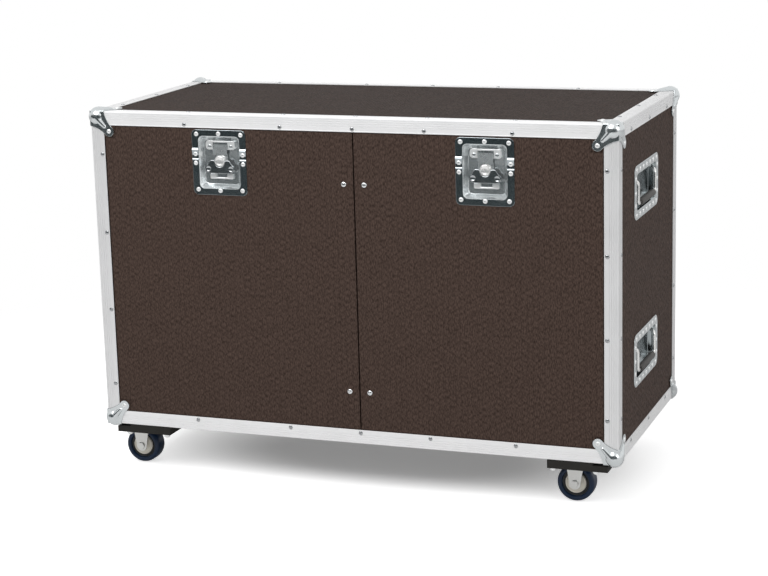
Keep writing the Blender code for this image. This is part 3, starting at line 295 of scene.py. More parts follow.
finish_nodes(("left_door", "right_door", "back_panel", "door_frame"), front_film)
finish_nodes(("left_side_panel", "right_side_panel"), side_film)
finish_nodes(("top_panel", "base_panel"), top_film_painted_darker)


# Edge angle: aluminium extrusion, 30 mm on each leg and 1.5 mm thick, with fine ribs along it and a
# plain strip near its free edge for the screws. Each length is mitred where it meets the next two.

body_width = 1.160
body_depth = 0.542
body_height = 0.697
underside = 0.108
front_y = -body_depth / 2
fit_gap = 0.0003
leg_width = 0.030
leg_thickness = 0.0015
arris_radius = 0.0021
rib_first = 0.0052
rib_pitch = 0.0046
rib_count = 4
rib_half_width = 0.0007
rib_depth = 0.0007
strip_sink = 0.0002
strip_start = rib_first + rib_count * rib_pitch - 0.0020
free_edge_bead = 0.0018
free_edge_bevel = 0.0004


def joined(name, shapes):
    """One mesh object at the origin from several bmesh shapes, with normals facing out."""
    whole = bmesh.new()
    for shape in shapes:
        loose = bpy.data.meshes.new("loose")
        shape.to_mesh(loose)
        shape.free()
        whole.from_mesh(loose)
        bpy.data.meshes.remove(loose)
    bmesh.ops.recalc_face_normals(whole, faces=whole.faces)
    mesh = bpy.data.meshes.new(name)
    whole.to_mesh(mesh)
    whole.free()
    return in_scene(name, mesh)


def dress(piece, finish, body, replaced=(), smooth_degrees=18):
    """Give a piece its finish, its smoothing and its place in the case's model."""
    piece.data.materials.clear()
    piece.data.materials.append(finish)
    piece.data.polygons.foreach_set("use_smooth", [True] * len(piece.data.polygons))
    piece.data.set_sharp_from_angle(angle=math.radians(smooth_degrees))
    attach(piece, body)
    if replaced:
        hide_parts(*replaced)


def leg_section():
    """Half of the angle: depth behind its face, and distance from the other face."""
    turns = [math.radians(angle) for angle in (45, 30, 15, 0)]
    points = [(arris_radius * (1 - math.cos(turn)), arris_radius * (1 - math.sin(turn))) for turn in turns]
    for rib in range(rib_count):
        middle = rib_first + rib * rib_pitch
        points += [(0, middle - rib_half_width), (rib_depth, middle - rib_half_width / 2)]
        points += [(rib_depth, middle + rib_half_width / 2), (0, middle + rib_half_width)]
    bead_start = leg_width - free_edge_bead
    points += [(strip_sink, strip_start), (strip_sink, bead_start - free_edge_bevel), (0, bead_start)]
    points += [(0, leg_width - free_edge_bevel), (free_edge_bevel, leg_width)]
    return points + [(leg_thickness, leg_width), (leg_thickness, leg_thickness)]


def bridge(shape, first, second):
    """Faces between two closed loops of corners."""
    for step in range(len(first)):
        following = (step + 1) % len(first)
        shape.faces.new((first[step], first[following], second[following], second[step]))


def edge_length(run, signs):
    """One length of edge angle along an axis, on the sides of the body that the signs give."""
    halves = (body_width / 2, body_depth / 2, body_height / 2)
    centre = Vector((0, 0, underside + body_height / 2))
    first, second = [axis for axis in range(3) if axis != run]
    leg = leg_section()
    section = leg + [(far, near) for near, far in leg[1:-1]][::-1]
    shape = bmesh.new()
    ends = []
    for end in (-1, 1):
        corners = []
        for first_depth, second_depth in section:
            place = Vector((0, 0, 0))
            place[run] = end * (halves[run] - max(first_depth, second_depth) - fit_gap)
            place[first] = signs[0] * (halves[first] - first_depth)
            place[second] = signs[1] * (halves[second] - second_depth)
            corners.append(shape.verts.new(centre + place))
        ends.append(corners)
    bridge(shape, *ends)
    for corners in ends:
        shape.faces.new(corners[: len(leg)])
        shape.faces.new([corners[0], *corners[len(leg) - 1 :]])
    bmesh.ops.recalc_face_normals(shape, faces=shape.faces)
    return shape


def metal(name, colour, roughness, variation, grain_scale, bump_strength=0.05, metallic=1.0):
    """Bare or plated metal: an uneven sheen from two scales of noise and a slight surface grain."""
    made, tree, shader = new_material(name, {"Metallic": metallic})
    place = object_place(tree)
    cloud = noise(tree, place, grain_scale, 5.0)
    grain = noise(tree, place, grain_scale * 22, 2.0)
    tones = (cloud, shaded(colour, 0.90), colour)
    uneven(tree, shader, tones, (cloud, variation, roughness - variation / 2), (grain, bump_strength, 0.0003))
    return made


# The uprights get a darker copy of the level edges' anodised aluminium, as painted shade: the level edges are
# lit more from above.
anodised = metal("anodised_aluminium", (0.84, 0.84, 0.845), 0.46, 0.12, 18, metallic=0.30)
upright_anodising_painted_darker = metal("anodised_uprights_painted_darker", (0.71, 0.71, 0.715), 0.42, 0.12, 18, metallic=0.30)
level_shapes = [edge_length(run, signs) for signs in product((-1, 1), repeat=2) for run in (0, 1)]
upright_shapes = [edge_length(2, signs) for signs in product((-1, 1), repeat=2)]
level_names = [name for name in nodes if name.endswith(("_top_edge", "_bottom_edge"))]
upright_names = [name for name in nodes if name.endswith(("_left_edge", "_right_edge"))]
dress(joined("level_edge_angles", level_shapes), anodised, "case", level_names, 20)
uprights = joined("upright_edge_angles", upright_shapes)
dress(uprights, upright_anodising_painted_darker, "case", upright_names, 20)


# Screws: zinc plated, with a low round head and a cross recess, along the strip near the free edge of
# each leg. One Geometry Nodes tree makes every screw and rivet head of the case.

screw_columns = (-0.359, -0.140, 0.021, 0.177, 0.363)
screw_rows = (0.092, 0.260, 0.432, 0.604)
screw_depths = (-0.165, 0.0, 0.165)
screw_inset = 0.0235
screw_sizes = {
    "Head Radius": 0.0045,
    "Head Height": 0.0018,
    "Recess Radius": 0.0019,
    "Recess Depth": 0.0014,
    "Recess Sides": 4,
}


# The tree puts a low dome with a straight-sided recess on each point, facing along its out vector.

heads = bpy.data.node_groups.new("fastener_heads", "GeometryNodeTree")
face = heads.interface
face.new_socket("Points", in_out="INPUT", socket_type="NodeSocketGeometry")
for label in ("Head Radius", "Head Height", "Recess Radius", "Recess Depth"):
    face.new_socket(label, in_out="INPUT", socket_type="NodeSocketFloat")
face.new_socket("Recess Sides", in_out="INPUT", socket_type="NodeSocketInt")
face.new_socket("Finish", in_out="INPUT", socket_type="NodeSocketMaterial")
face.new_socket("Heads", in_out="OUTPUT", socket_type="NodeSocketGeometry")
given = heads.nodes.new("NodeGroupInput").outputs
radius = given["Head Radius"]
height = given["Head Height"]
dome = new_node(heads, "GeometryNodeMeshUVSphere", {"Segments": 20, "Rings": 10, "Radius": 1.0})
dome_size = new_node(heads, "ShaderNodeCombineXYZ", {"X": radius, "Y": radius, "Z": height})
sized_dome = new_node(heads, "GeometryNodeTransform", {"Geometry": dome, "Scale": dome_size})
recess = {"Radius": given["Recess Radius"], "Depth": given["Recess Depth"]}
recess["Vertices"] = given["Recess Sides"]
punch = new_node(heads, "GeometryNodeMeshCylinder", recess)
dome_top = new_node(heads, "ShaderNodeCombineXYZ", {"Z": height})
placed_punch = new_node(heads, "GeometryNodeTransform", {"Geometry": punch, "Translation": dome_top})
solids = {"Mesh 1": sized_dome, "Mesh 2": placed_punch}
head = new_node(heads, "GeometryNodeMeshBoolean", solids, operation="DIFFERENCE")
out = new_node(heads, "GeometryNodeInputNamedAttribute", {"Name": "out"}, data_type="FLOAT_VECTOR")
facing = new_node(heads, "FunctionNodeAlignRotationToVector", {"Vector": out}, axis="Z")
spread = {"Points": given["Points"], "Instance": head, "Rotation": facing}
on_points = new_node(heads, "GeometryNodeInstanceOnPoints", spread)
made_real = new_node(heads, "GeometryNodeRealizeInstances", {0: on_points})
finished = {"Geometry": made_real, "Material": given["Finish"]}
result = heads.nodes.new("NodeGroupOutput")
wire(heads, result, {"Heads": new_node(heads, "GeometryNodeSetMaterial", finished)})


def plain_mesh(piece):
    """The finished mesh of an object with modifiers, or of a curve."""
    scene.view_layers[0].update()
    return bpy.data.meshes.new_from_object(piece.evaluated_get(bpy.context.evaluated_depsgraph_get()))


def heads_on(name, places, sizes, finish, body):
    """Screw or rivet heads at places, each a point and the direction it faces."""
    points_mesh = bpy.data.meshes.new(name)
    points_mesh.from_pydata([point for point, _ in places], [], [])
    out = points_mesh.attributes.new("out", "FLOAT_VECTOR", "POINT")
    out.data.foreach_set("vector", [part for _, direction in places for part in direction])
    piece = in_scene(name, points_mesh)
    maker = piece.modifiers.new("heads", "NODES")
    maker.node_group = heads
    for label, value in {**sizes, "Finish": finish}.items():
        maker[heads.interface.items_tree[label].identifier] = value
    made = plain_mesh(piece)
    piece.modifiers.clear()
    piece.data = made
    dress(piece, finish, body, smooth_degrees=35)


def on_face(face, across, up, lift=0.0):
    """A place on a face of the body: across from its middle, up from the underside, and its normal.

    On the top and the base, up is measured from the front plane to the back.
    """
    sign = 1 if face in ("back", "right", "top") else -1
    if face in ("front", "back"):
        return (across, sign * (body_depth / 2 + lift), underside + up), (0, sign, 0)
    if face in ("left", "right"):
        return (sign * (body_width / 2 + lift), across, underside + up), (sign, 0, 0)
    level = underside + body_height + lift if face == "top" else underside - lift
    return (across, front_y + up, level), (0, 0, sign)


depth_rows = [body_depth / 2 + depth for depth in screw_depths]
face_pairs = (
    (("front", "back"), body_width, body_height, screw_columns, screw_rows),
    (("left", "right"), body_depth, body_height, screw_depths, screw_rows),
    (("top", "base"), body_width, body_depth, screw_columns, depth_rows),
)
edge_screws = []
for faces, width, height, columns, rows in face_pairs:
    for face in faces:
        for across, up in product(columns, (screw_inset, height - screw_inset)):
            edge_screws.append(on_face(face, across, up))
        for sign, up in product((-1, 1), rows):
            edge_screws.append(on_face(face, sign * (width / 2 - screw_inset), up))
screw_finish = metal("zinc_on_screws", (0.42, 0.43, 0.44), 0.20, 0.10, 60)
heads_on("edge_screws", edge_screws, screw_sizes, screw_finish, "case")

# Dome screws: two in each door beside the gap, which hold the batten behind the door's meeting edge.

dome_screw_columns = (("left", -0.0015), ("right", 0.0435))
dome_screw_rows = (0.1130, 0.5575)
dome_sizes = {
    "Head Radius": 0.0060,
    "Head Height": 0.0030,
    "Recess Radius": 0.0020,
    "Recess Depth": 0.0026,
    "Recess Sides": 6,
}
dome_finish = metal("zinc_on_dome_screws", (0.78, 0.79, 0.80), 0.24, 0.08, 60)
for side, across in dome_screw_columns:
    dome_places = [on_face("front", across, up, -0.002) for up in dome_screw_rows]
    heads_on(f"{side}_door_dome_screws", dome_places, dome_sizes, dome_finish, f"{side}_door")


# Ball corners: zinc-plated steel pressings over each vertex, with a ball in the middle, three waisted
# legs, a raised rib along each leg and a rivet through each leg's round tip.

corner_ball_radius = 0.0205
corner_ball_inset = 0.0122
corner_leg_face = 0.0018
corner_skirt = 0.0320
corner_waist = (0.0375, 0.0235)
corner_rivet_inset = 0.0427
corner_tip_radius = 0.0113
corner_rib_ends = ((0.0135, 0.0086), (0.0325, 0.0047))
corner_reach = 0.12
rivet_sizes = {
    "Head Radius": 0.0050,
    "Head Height": 0.0024,
    "Recess Radius": 0.0021,
    "Recess Depth": 0.0042,
    "Recess Sides": 12,
}


def evaluated(piece):
    """The finished mesh of an object, which is then removed."""
    made = plain_mesh(piece)
    bpy.data.objects.remove(piece)
    return made


def shape_of(mesh, weld=0.0):
    shape = bmesh.new()
    shape.from_mesh(mesh)
    if weld:
        bmesh.ops.remove_doubles(shape, verts=shape.verts, dist=weld)
    return shape


def placed(shape, matrix):
    bmesh.ops.transform(shape, matrix=matrix, verts=shape.verts)
    return shape


def arc(centre, radius, start_degrees, end_degrees, steps):
    points = []
    for step in range(steps + 1):
        angle = math.radians(start_degrees + (end_degrees - start_degrees) * step / steps)
        points.append((centre[0] + radius * math.cos(angle), centre[1] + radius * math.sin(angle)))
    return points


def add_line(curve, points):
    """Add a line through points to a curve."""
    line = curve.splines.new("POLY")
    line.points.add(len(points) - 1)
    for knot, point in zip(line.points, points):
        knot.co = (*point, 1)
    return line


def plate(outlines, low, high, rounding=0.0003):
    """A flat plate between two heights with rounded edges. Its curve is drawn in millimetres."""
    curve = bpy.data.curves.new("outline", "CURVE")
    curve.dimensions = "2D"
    curve.fill_mode = "BOTH"
    curve.extrude = 500 * (high - low) - 1000 * rounding
    curve.bevel_depth = 1000 * rounding
    curve.bevel_resolution = 1
    curve.offset = -1000 * rounding
    for outline in outlines:
        add_line(curve, [(1000 * across, 1000 * up, 0) for across, up in outline]).use_cyclic_u = True
    shape = shape_of(evaluated(in_scene("outline", curve)), 1e-3)
    return placed(shape, Matrix.Translation((0, 0, (low + high) / 2)) @ Matrix.Scale(0.001, 4))


def corner_leg():
    """One leg's outline, from the vertex out to the tip round its rivet."""
    rivet = (corner_rivet_inset, corner_rivet_inset)
    tip = arc(rivet, corner_tip_radius, -45, 135, 18)
    start = Vector((corner_skirt, 0))
    waist = Vector(corner_waist)
    end = Vector(tip[0])
    side = []
    for step in range(12):
        along = step / 12
        side.append(tuple(start * (1 - along) ** 2 + waist * 2 * along * (1 - along) + end * along**2))
    return [(0, 0), *side, *tip, *[(up, across) for across, up in reversed(side)]]


def add_ball(shape, radius, subdivisions, centre):
    """Add a ball to a shape."""
    place = Matrix.Translation(centre)
    bmesh.ops.create_icosphere(shape, subdivisions=subdivisions, radius=radius, matrix=place)
    return shape


def drop(ends, subdivisions):
    """The closed skin round balls, each a centre and a radius."""
    skin = bmesh.new()
    for centre, radius in ends:
        add_ball(skin, radius, subdivisions, centre)
    hull = bmesh.ops.convex_hull(skin, input=skin.verts)
    inside = set(hull["geom_interior"] + hull["geom_unused"])
    inside = [item for item in inside if isinstance(item, bmesh.types.BMVert)]
    bmesh.ops.delete(skin, geom=inside, context="VERTS")
    return skin


def without(shape, tool):
    """A shape with a tool cut out of it."""
    body = joined("body", [shape])
    cutter = joined("cutter", [tool])
    cut = body.modifiers.new("cut", "BOOLEAN")
    cut.operation = "DIFFERENCE"
    cut.object = cutter
    mesh = evaluated(body)
    bpy.data.objects.remove(cutter)
    return shape_of(mesh)


def block(low, high):
    shape = bmesh.new()
    bmesh.ops.create_cube(shape, size=1.0)
    size = Vector(high) - Vector(low)
    return placed(shape, Matrix.Translation(Vector(low) + size / 2) @ Matrix.Diagonal((*size, 1)))


# One cover: the vertex is the origin and the case fills positive X, Y and Z.

leg_turns = [Matrix.Rotation(math.radians(120 * step), 4, Vector((1, 1, 1))) for step in range(3)]
cover_shapes = [add_ball(bmesh.new(), corner_ball_radius, 5, [corner_ball_inset] * 3)]
for turn in leg_turns:
    cover_shapes.append(placed(plate([corner_leg()], 0.0007 - corner_leg_face, 0.0009), turn))
    rib_ends = [((inset, inset, 0), radius) for inset, radius in corner_rib_ends]
    cover_shapes.append(placed(drop(rib_ends, 4), turn))
pressing = joined("corner_pressing", cover_shapes)
skin = pressing.modifiers.new("skin", "REMESH")
skin.mode = "VOXEL"
skin.voxel_size = 0.0006
soften = pressing.modifiers.new("soften", "SMOOTH")
soften.factor = 0.5
soften.iterations = 7
thin = pressing.modifiers.new("thin", "DECIMATE")
thin.ratio = 0.16
inside_case = ([-fit_gap] * 3, [corner_reach] * 3)
ball_master = without(shape_of(evaluated(pressing)), block(*inside_case))
leg_parts = []
for turn in leg_turns:
    leg_parts.append(placed(plate([corner_leg()], -corner_leg_face, -fit_gap, 0.0005), turn))
    fold = drop([((0, 0, 0), corner_leg_face), ((corner_skirt - 0.0010, 0, 0), corner_leg_face)], 3)
    leg_parts.append(without(placed(fold, turn), block(*inside_case)))
leg_master = shape_of(evaluated(joined("leg_master", leg_parts)))
ball_shapes = []
leg_shapes = []
corner_rivets = []
for side_sign, depth_sign, height_sign in product((-1, 1), repeat=3):
    height = underside + body_height * (1 + height_sign) / 2
    vertex = Matrix.Translation((side_sign * body_width / 2, depth_sign * body_depth / 2, height))
    inward = Matrix.Diagonal((-side_sign, -depth_sign, -height_sign, 1))
    ball_shapes.append(placed(ball_master.copy(), vertex @ inward))
    leg_shapes.append(placed(leg_master.copy(), vertex @ inward))
    for axis in range(3):
        spot = Vector([corner_rivet_inset] * 3)
        spot[axis] = -corner_leg_face
        facing = Vector((0, 0, 0))
        facing[axis] = -1
        corner_rivets.append((vertex @ inward @ spot, inward.to_3x3() @ facing))
ball_master.free()
leg_master.free()
corner_zinc = metal("zinc_on_ball_corners", (0.66, 0.69, 0.70), 0.22, 0.14, 40, 0.04)
corner_names = [name for name in nodes if name.endswith("_corner")]
dress(joined("corner_balls", ball_shapes), corner_zinc, "case", corner_names, 40)
dress(joined("corner_legs", leg_shapes), corner_zinc, "case", (), 20)
rivet_finish = metal("bright_rivets", (0.86, 0.87, 0.87), 0.30, 0.10, 80, 0.03, 0.55)
heads_on("corner_rivets", corner_rivets, rivet_sizes, rivet_finish, "case")


# Latch pans: each door's recessed butterfly latch sits in a pressed and zinc-plated pan. Its flange has
# a lapped joint at half height and is riveted to the door; the pan carries the keeper and a bracket.

latch_centres = {"left": -0.281, "right": 0.3045}
latch_height = 0.594
door_face = front_y + 0.002
sheet_thickness = 0.0012
pan_front = 0.0015
pan_floor = pan_front - 0.0140
flange_rings = [
    (0.1240, 0.1390, 0.0110, -0.0007),
    (0.1236, 0.1386, 0.0108, -0.0002),
    (0.1228, 0.1378, 0.0104, 0.0),
    (0.0946, 0.1122, 0.0103, 0.0),
]
pan_rings = [
    (0.0950, 0.1126, 0.0105, 0.0001),
    (0.0936, 0.1112, 0.0098, -0.0001),
    (0.0926, 0.1102, 0.0093, -0.0008),
    (0.0792, 0.0968, 0.0080, -0.0120),
    (0.0778, 0.0954, 0.0074, -0.0132),
    (0.0764, 0.0940, 0.0070, -0.0138),
    (0.0740, 0.0916, 0.0066, -0.0140),
]
lap_wedges = ((0.0266, 0.0300, 0.0150, 0.0017), (0.0063, 0.0078, 0.0040, 0.0010))
lap_ends = (-0.0618, 0.0476)
lap_length = 0.0142
keeper_middle = 0.03605
keeper_low = -0.0073
keeper_high = -0.0058
fitting_foot = pan_floor - 0.0005
keeper_rivet_points = ((-0.0243, 0.0330), (0.0243, 0.0330))
keeper_rivet_sizes = {**rivet_sizes, "Head Radius": 0.0048, "Head Height": 0.0014, "Recess Depth": 0.0016}


def rounded_rectangle(width, height, radius, centre=(0, 0), steps=8):
    points = []
    for across, up, start in ((1, 1, 0), (-1, 1, 90), (-1, -1, 180), (1, -1, 270)):
        corner = (centre[0] + across * (width / 2 - radius), centre[1] + up * (height / 2 - radius))
        points.extend(arc(corner, radius, start, start + 90, steps))
    return points


def sheet_through(rings, with_floor):
    """Sheet metal through rounded rectangles, each a width, a height, a corner radius and a level."""
    shape = bmesh.new()
    loops = []
    for width, height, radius, level in rings:
        outline = rounded_rectangle(width, height, radius)
        loops.append([shape.verts.new((across, up, pan_front + level)) for across, up in outline])
    for outer, inner in zip(loops, loops[1:]):
        bridge(shape, outer, inner)
    if with_floor:
        shape.faces.new(loops[-1])
    sheet_mesh = bpy.data.meshes.new("sheet")
    shape.to_mesh(sheet_mesh)
    shape.free()
    sheet = in_scene("sheet", sheet_mesh)
    wall = sheet.modifiers.new("wall", "SOLIDIFY")
    wall.thickness = sheet_thickness
    wall.offset = -1
    return shape_of(evaluated(sheet))


def standing_on(across, up, origin=(0, 0, 0)):
    """A placing matrix: local X runs across, local Y runs up and local Z points out of the face."""
    across = Vector(across)
    up = Vector(up)
    return Matrix.Translation(origin) @ Matrix((across, up, across.cross(up))).transposed().to_4x4()


def spots(matrix, points, lift):
    """Places for fasteners on a face: points across and up in its frame."""
    out = matrix.to_3x3() @ Vector((0, 0, 1))
    return [(matrix @ Vector((across, up, lift)), out) for across, up in points]


def turned(profile, steps=48):
    """A solid turned about local Z from radius and height pairs, from its top down to its bottom."""
    shape = bmesh.new()
    corners = [shape.verts.new((radius, 0, height)) for radius, height in profile]
    lines = [shape.edges.new(pair) for pair in zip(corners, corners[1:])]
    bmesh.ops.spin(
        shape, geom=corners + lines, cent=(0, 0, 0), axis=(0, 0, 1), angle=math.tau, steps=steps
    )
    bmesh.ops.remove_doubles(shape, verts=shape.verts, dist=1e-6)
    bmesh.ops.recalc_face_normals(shape, faces=shape.faces)
    return shape


def fit(name, shapes, matrix, finish, body, replaced=(), smooth_degrees=18):
    """One dressed piece from shapes that are drawn round their own origin."""
    piece = joined(name, [placed(shape, matrix) for shape in shapes])
    dress(piece, finish, body, replaced, smooth_degrees)


latch_frames = {}
for side, across in latch_centres.items():
    latch_frames[side] = standing_on((1, 0, 0), (0, 0, 1), (across, door_face, underside + latch_height))
flange_finish = metal("zinc_on_latch_flanges", (0.42, 0.46, 0.48), 0.16, 0.10, 22, 0.03)
pan_finish = metal("zinc_in_latch_pans", (0.74, 0.77, 0.78), 0.24, 0.16, 30, 0.05, 0.92)
keeper_finish = metal("bright_keepers", (0.92, 0.93, 0.93), 0.30, 0.12, 50, 0.04, 0.60)
flange_rivets = [(0.0, 0.0615), (0.0, -0.0600)]
for direction in (-1, 1):
    flange_rivets += [(direction * 0.051, 0.0600), (direction * 0.051, -0.0585)]
    flange_rivets += [(direction * 0.0545, 0.0174), (direction * 0.0545, -0.0019)]
sideways = standing_on((0, 1, 0), (0, 0, 1))
for side, matrix in latch_frames.items():
    door = f"{side}_door"
    flange_shapes = [sheet_through(flange_rings, False)]
    for (crest, top, low, rise), lap_end in product(lap_wedges, lap_ends):
        side_view = [(low, pan_front - 0.0008), (top, pan_front - 0.0008)]
        side_view += [(top, pan_front), (crest, pan_front + rise), (low, pan_front + 0.0002)]
        flange_shapes.append(placed(plate([side_view], lap_end, lap_end + lap_length, 0.0001), sideways))
    fit(f"{side}_latch_flange", flange_shapes, matrix, flange_finish, door, [f"{side}_latch_dish"])
    keeper_edge = rounded_rectangle(0.0675, 0.0189, 0.0072, (0, keeper_middle))
    keeper_slot = rounded_rectangle(0.0340, 0.0132, 0.0012, (0, 0.0354))
    keeper_shapes = [plate([keeper_edge, keeper_slot], keeper_low, keeper_high, 0.0006)]
    for direction in (-1, 1):
        foot = rounded_rectangle(0.0120, 0.0165, 0.0045, (direction * 0.0262, keeper_middle))
        keeper_shapes.append(plate([foot], fitting_foot, keeper_low + 0.0009, 0.0005))
        arm = rounded_rectangle(0.0140, 0.0110, 0.0020, (direction * 0.0195, -0.0305))
        keeper_shapes.append(plate([arm], fitting_foot, pan_floor + 0.0050, 0.0012))
    sill = rounded_rectangle(0.0500, 0.0036, 0.0016, (0, -0.0346))
    keeper_shapes.append(plate([sill], fitting_foot, pan_floor + 0.0036, 0.0010))
    fit(f"{side}_keeper_and_bracket", keeper_shapes, matrix, keeper_finish, door)
    fit(f"{side}_latch_pan", [sheet_through(pan_rings, True)], matrix, pan_finish, door)
    places = spots(matrix, flange_rivets, pan_front)
    heads_on(f"{side}_latch_rivets", places, rivet_sizes, rivet_finish, door)
    places = spots(matrix, keeper_rivet_points, keeper_high)
    heads_on(f"{side}_keeper_rivets", places, keeper_rivet_sizes, pan_finish, door)


# Latch hooks: a plated steel strip that slides under the keeper. It has turned-up sides, a window for
# the knob's eccentric, a step over the keeper and a claw that drops into the keeper's slot.

hook_half_width = 0.0156
hook_window = ((-0.0098, -0.0076, -0.0120), (0.0098, 0.0056, -0.0050))
hook_edges = (-0.0160, 0.0150)
hook_edge_thickness = 0.0010
hook_edge_rise = 0.0006
hook_finish = metal("plated_hooks", (0.66, 0.69, 0.70), 0.28, 0.12, 40, 0.04, 0.82)


def hook_side(lift):
    """The strip seen from the side, with its front surface raised by a lift."""
    back = [(-0.0120, -0.0096), (0.0178, -0.0096), (0.0178, -0.0048), (0.0300, -0.0048)]
    claw = [(0.0300, -0.0090), (0.0322, -0.0090), (0.0322, -0.0048), (0.0380, -0.0048)]
    front = [(0.0380, -0.0030), (0.0162, -0.0030), (0.0162, -0.0078), (-0.0120, -0.0078)]
    return back + claw + [(up, out + lift) for up, out in front]


for side, matrix in latch_frames.items():
    strip = placed(plate([hook_side(0)], -hook_half_width, hook_half_width, 0.0002), sideways)
    hook_shapes = [without(strip, block(*hook_window))]
    for low in hook_edges:
        edge = plate([hook_side(hook_edge_rise)], low, low + hook_edge_thickness, 0.0002)
        hook_shapes.append(placed(edge, sideways))
    node = f"{side}_latch_hook"
    fit(f"{side}_hook_strip", hook_shapes, matrix, hook_finish, node, [node])


# Latch knobs: turned and nickel plated, with a dished face inside a rounded lip. The eccentric under
# the foot drives the hook, and the sides hold the wing's two hinge pins.

knob_height = 0.0030
knob_throw = 0.0040
knob_face = [(0, -0.0002), (0.0030, -0.0001), (0.0062, 0.0002), (0.0080, 0.0010), (0.0090, 0.0014)]
knob_lip = [(0.0101, 0.0012), (0.0110, 0.0004), (0.0115, -0.0008), (0.0115, -0.0052)]
knob_foot = [(0.0119, -0.0055), (0.0125, -0.0058), (0.0125, -0.0075), (0, -0.0075)]
knob_cam = [(0, -0.0070), (0.0055, -0.0070), (0.0055, -0.0122), (0, -0.0122)]
nickel = metal("bright_nickel", (0.86, 0.86, 0.85), 0.26, 0.16, 150, 0.25, 0.70)
for side, matrix in latch_frames.items():
    cam = placed(turned(knob_cam, 32), Matrix.Translation((0, -knob_throw, 0)))
    knob_shapes = [turned(knob_face + knob_lip + knob_foot), cam]
    knob_place = matrix @ Matrix.Translation((0, knob_height, 0))
    node = f"{side}_latch_knob"
    fit(f"{side}_knob_turning", knob_shapes, knob_place, nickel, node, [node], 40)


# Latch wings: a two-lobed plate wrapped round the lower half of the knob, with a thumb dimple in each
# lobe. It folds out on its hinge pins and is turned to work the latch.

wing_low = -0.0022
wing_high = 0.0008
dimple_place = (0.02575, -0.0132)
dimple_radius = 0.0058
dimple_ball_radius = 0.0120
dimple_lift = wing_high + math.sqrt(dimple_ball_radius**2 - dimple_radius**2)
wing_pin = [(0, 0.0023), (0.0012, 0.0023), (0.0012, -0.0023), (0, -0.0023)]
wing_pin_place = (0.0118, 0.0025)
# The wings' nickel is painted darker than the knob's, as a painted dark reflection.
wing_nickel_painted_dark = metal("nickel_wings_painted_dark", (0.42, 0.44, 0.45), 0.20, 0.12, 60, 0.04)
wing_half = arc((0, knob_height), 0.0124, -90, 6, 16)
wing_half += [(0.0165, 0.0050), (0.0195, 0.0050), (0.0230, 0.0037)]
wing_half += arc((0.0255, -0.0132), 0.0083, 68, -66, 14) + [(0.0270, -0.0226), (0.0235, -0.0232)]
wing_edge = wing_half + [(-across, up) for across, up in reversed(wing_half[1:])]
crosswise = Matrix.Rotation(math.pi / 2, 4, "Y")
for side, matrix in latch_frames.items():
    wing_shapes = [plate([wing_edge], wing_low, wing_high, 0.0010)]
    for direction in (-1, 1):
        dimple_centre = (direction * dimple_place[0], dimple_place[1], dimple_lift)
        thumb = add_ball(bmesh.new(), dimple_ball_radius, 4, dimple_centre)
        wing_shapes[0] = without(wing_shapes[0], thumb)
        pin_centre = (direction * wing_pin_place[0], wing_pin_place[1], (wing_low + wing_high) / 2)
        pin_place = Matrix.Translation(pin_centre) @ crosswise
        wing_shapes.append(placed(turned(wing_pin, 16), pin_place))
    node = f"{side}_latch_wing"
    fit(f"{side}_wing_plate", wing_shapes, matrix, wing_nickel_painted_dark, node, [node])


# Handle pans: a deep pressed pan let into each side board twice, riveted round its flange, with a hole
# in each end wall for the handle's bail.

handle_heights = {"upper": 0.533, "lower": 0.178}
handle_depth = -0.023
handle_face = body_width / 2 - 0.0018
handle_flange_rings = [
    (0.2180, 0.1130, 0.0190, -0.0007),
    (0.2176, 0.1126, 0.0188, -0.0002),
    (0.2168, 0.1118, 0.0184, 0.0),
    (0.1786, 0.0766, 0.0104, 0.0),
]
handle_pan_rings = [
    (0.1790, 0.0770, 0.0105, 0.0001),
    (0.1774, 0.0754, 0.0098, -0.0003),
    (0.1764, 0.0744, 0.0092, -0.0012),
    (0.1712, 0.0692, 0.0084, -0.0152),
    (0.1704, 0.0684, 0.0078, -0.0162),
    (0.1690, 0.0670, 0.0072, -0.0168),
    (0.1670, 0.0650, 0.0066, -0.0170),
]
handle_rivet_sizes = {**rivet_sizes, "Head Radius": 0.0046, "Head Height": 0.0020, "Recess Radius": 0.0014}
handle_rivet_points = [*product((-0.090, -0.060, -0.030, 0.0, 0.030, 0.060, 0.090), (-0.0468, 0.0468))]
handle_rivet_points += product((-0.0985, 0.0985), (-0.026, 0.0, 0.030))
side_signs = (("left", -1), ("right", 1))
handle_frames = {}
for (level, height), (side, sign) in product(handle_heights.items(), side_signs):
    middle = (sign * handle_face, handle_depth, underside + height)
    handle_frames[f"{side}_{level}"] = standing_on((0, sign, 0), (0, 0, 1), middle)
handle_zinc = metal("zinc_on_handles", (0.56, 0.59, 0.60), 0.24, 0.18, 60, 0.08, 0.95)
# The pans get a darker copy of the flanges' zinc, as painted shade in the recess.
handle_pan_zinc_painted_shade = metal("zinc_in_handle_pans_painted_dark", (0.34, 0.37, 0.38), 0.16, 0.12, 60, 0.05)
flange_sheets = []
pan_sheets = []
handle_rivets = []
for matrix in handle_frames.values():
    flange_sheets.append(placed(sheet_through(handle_flange_rings, False), matrix))
    pan_sheets.append(placed(sheet_through(handle_pan_rings, True), matrix))
    handle_rivets += spots(matrix, handle_rivet_points, pan_front)
handle_dishes = [f"{name}_handle_dish" for name in handle_frames]
dress(joined("handle_flanges", flange_sheets), handle_zinc, "case", handle_dishes)
dress(joined("handle_pans", pan_sheets), handle_pan_zinc_painted_shade, "case")
heads_on("handle_rivets", handle_rivets, handle_rivet_sizes, rivet_finish, "case")


# Bails: an 8 mm steel rod bent into a wide U and cranked outward, whose ends turn in the pan's end
# walls, with a moulded rubber grip along its lower bar. It hangs until a hand swings it out.

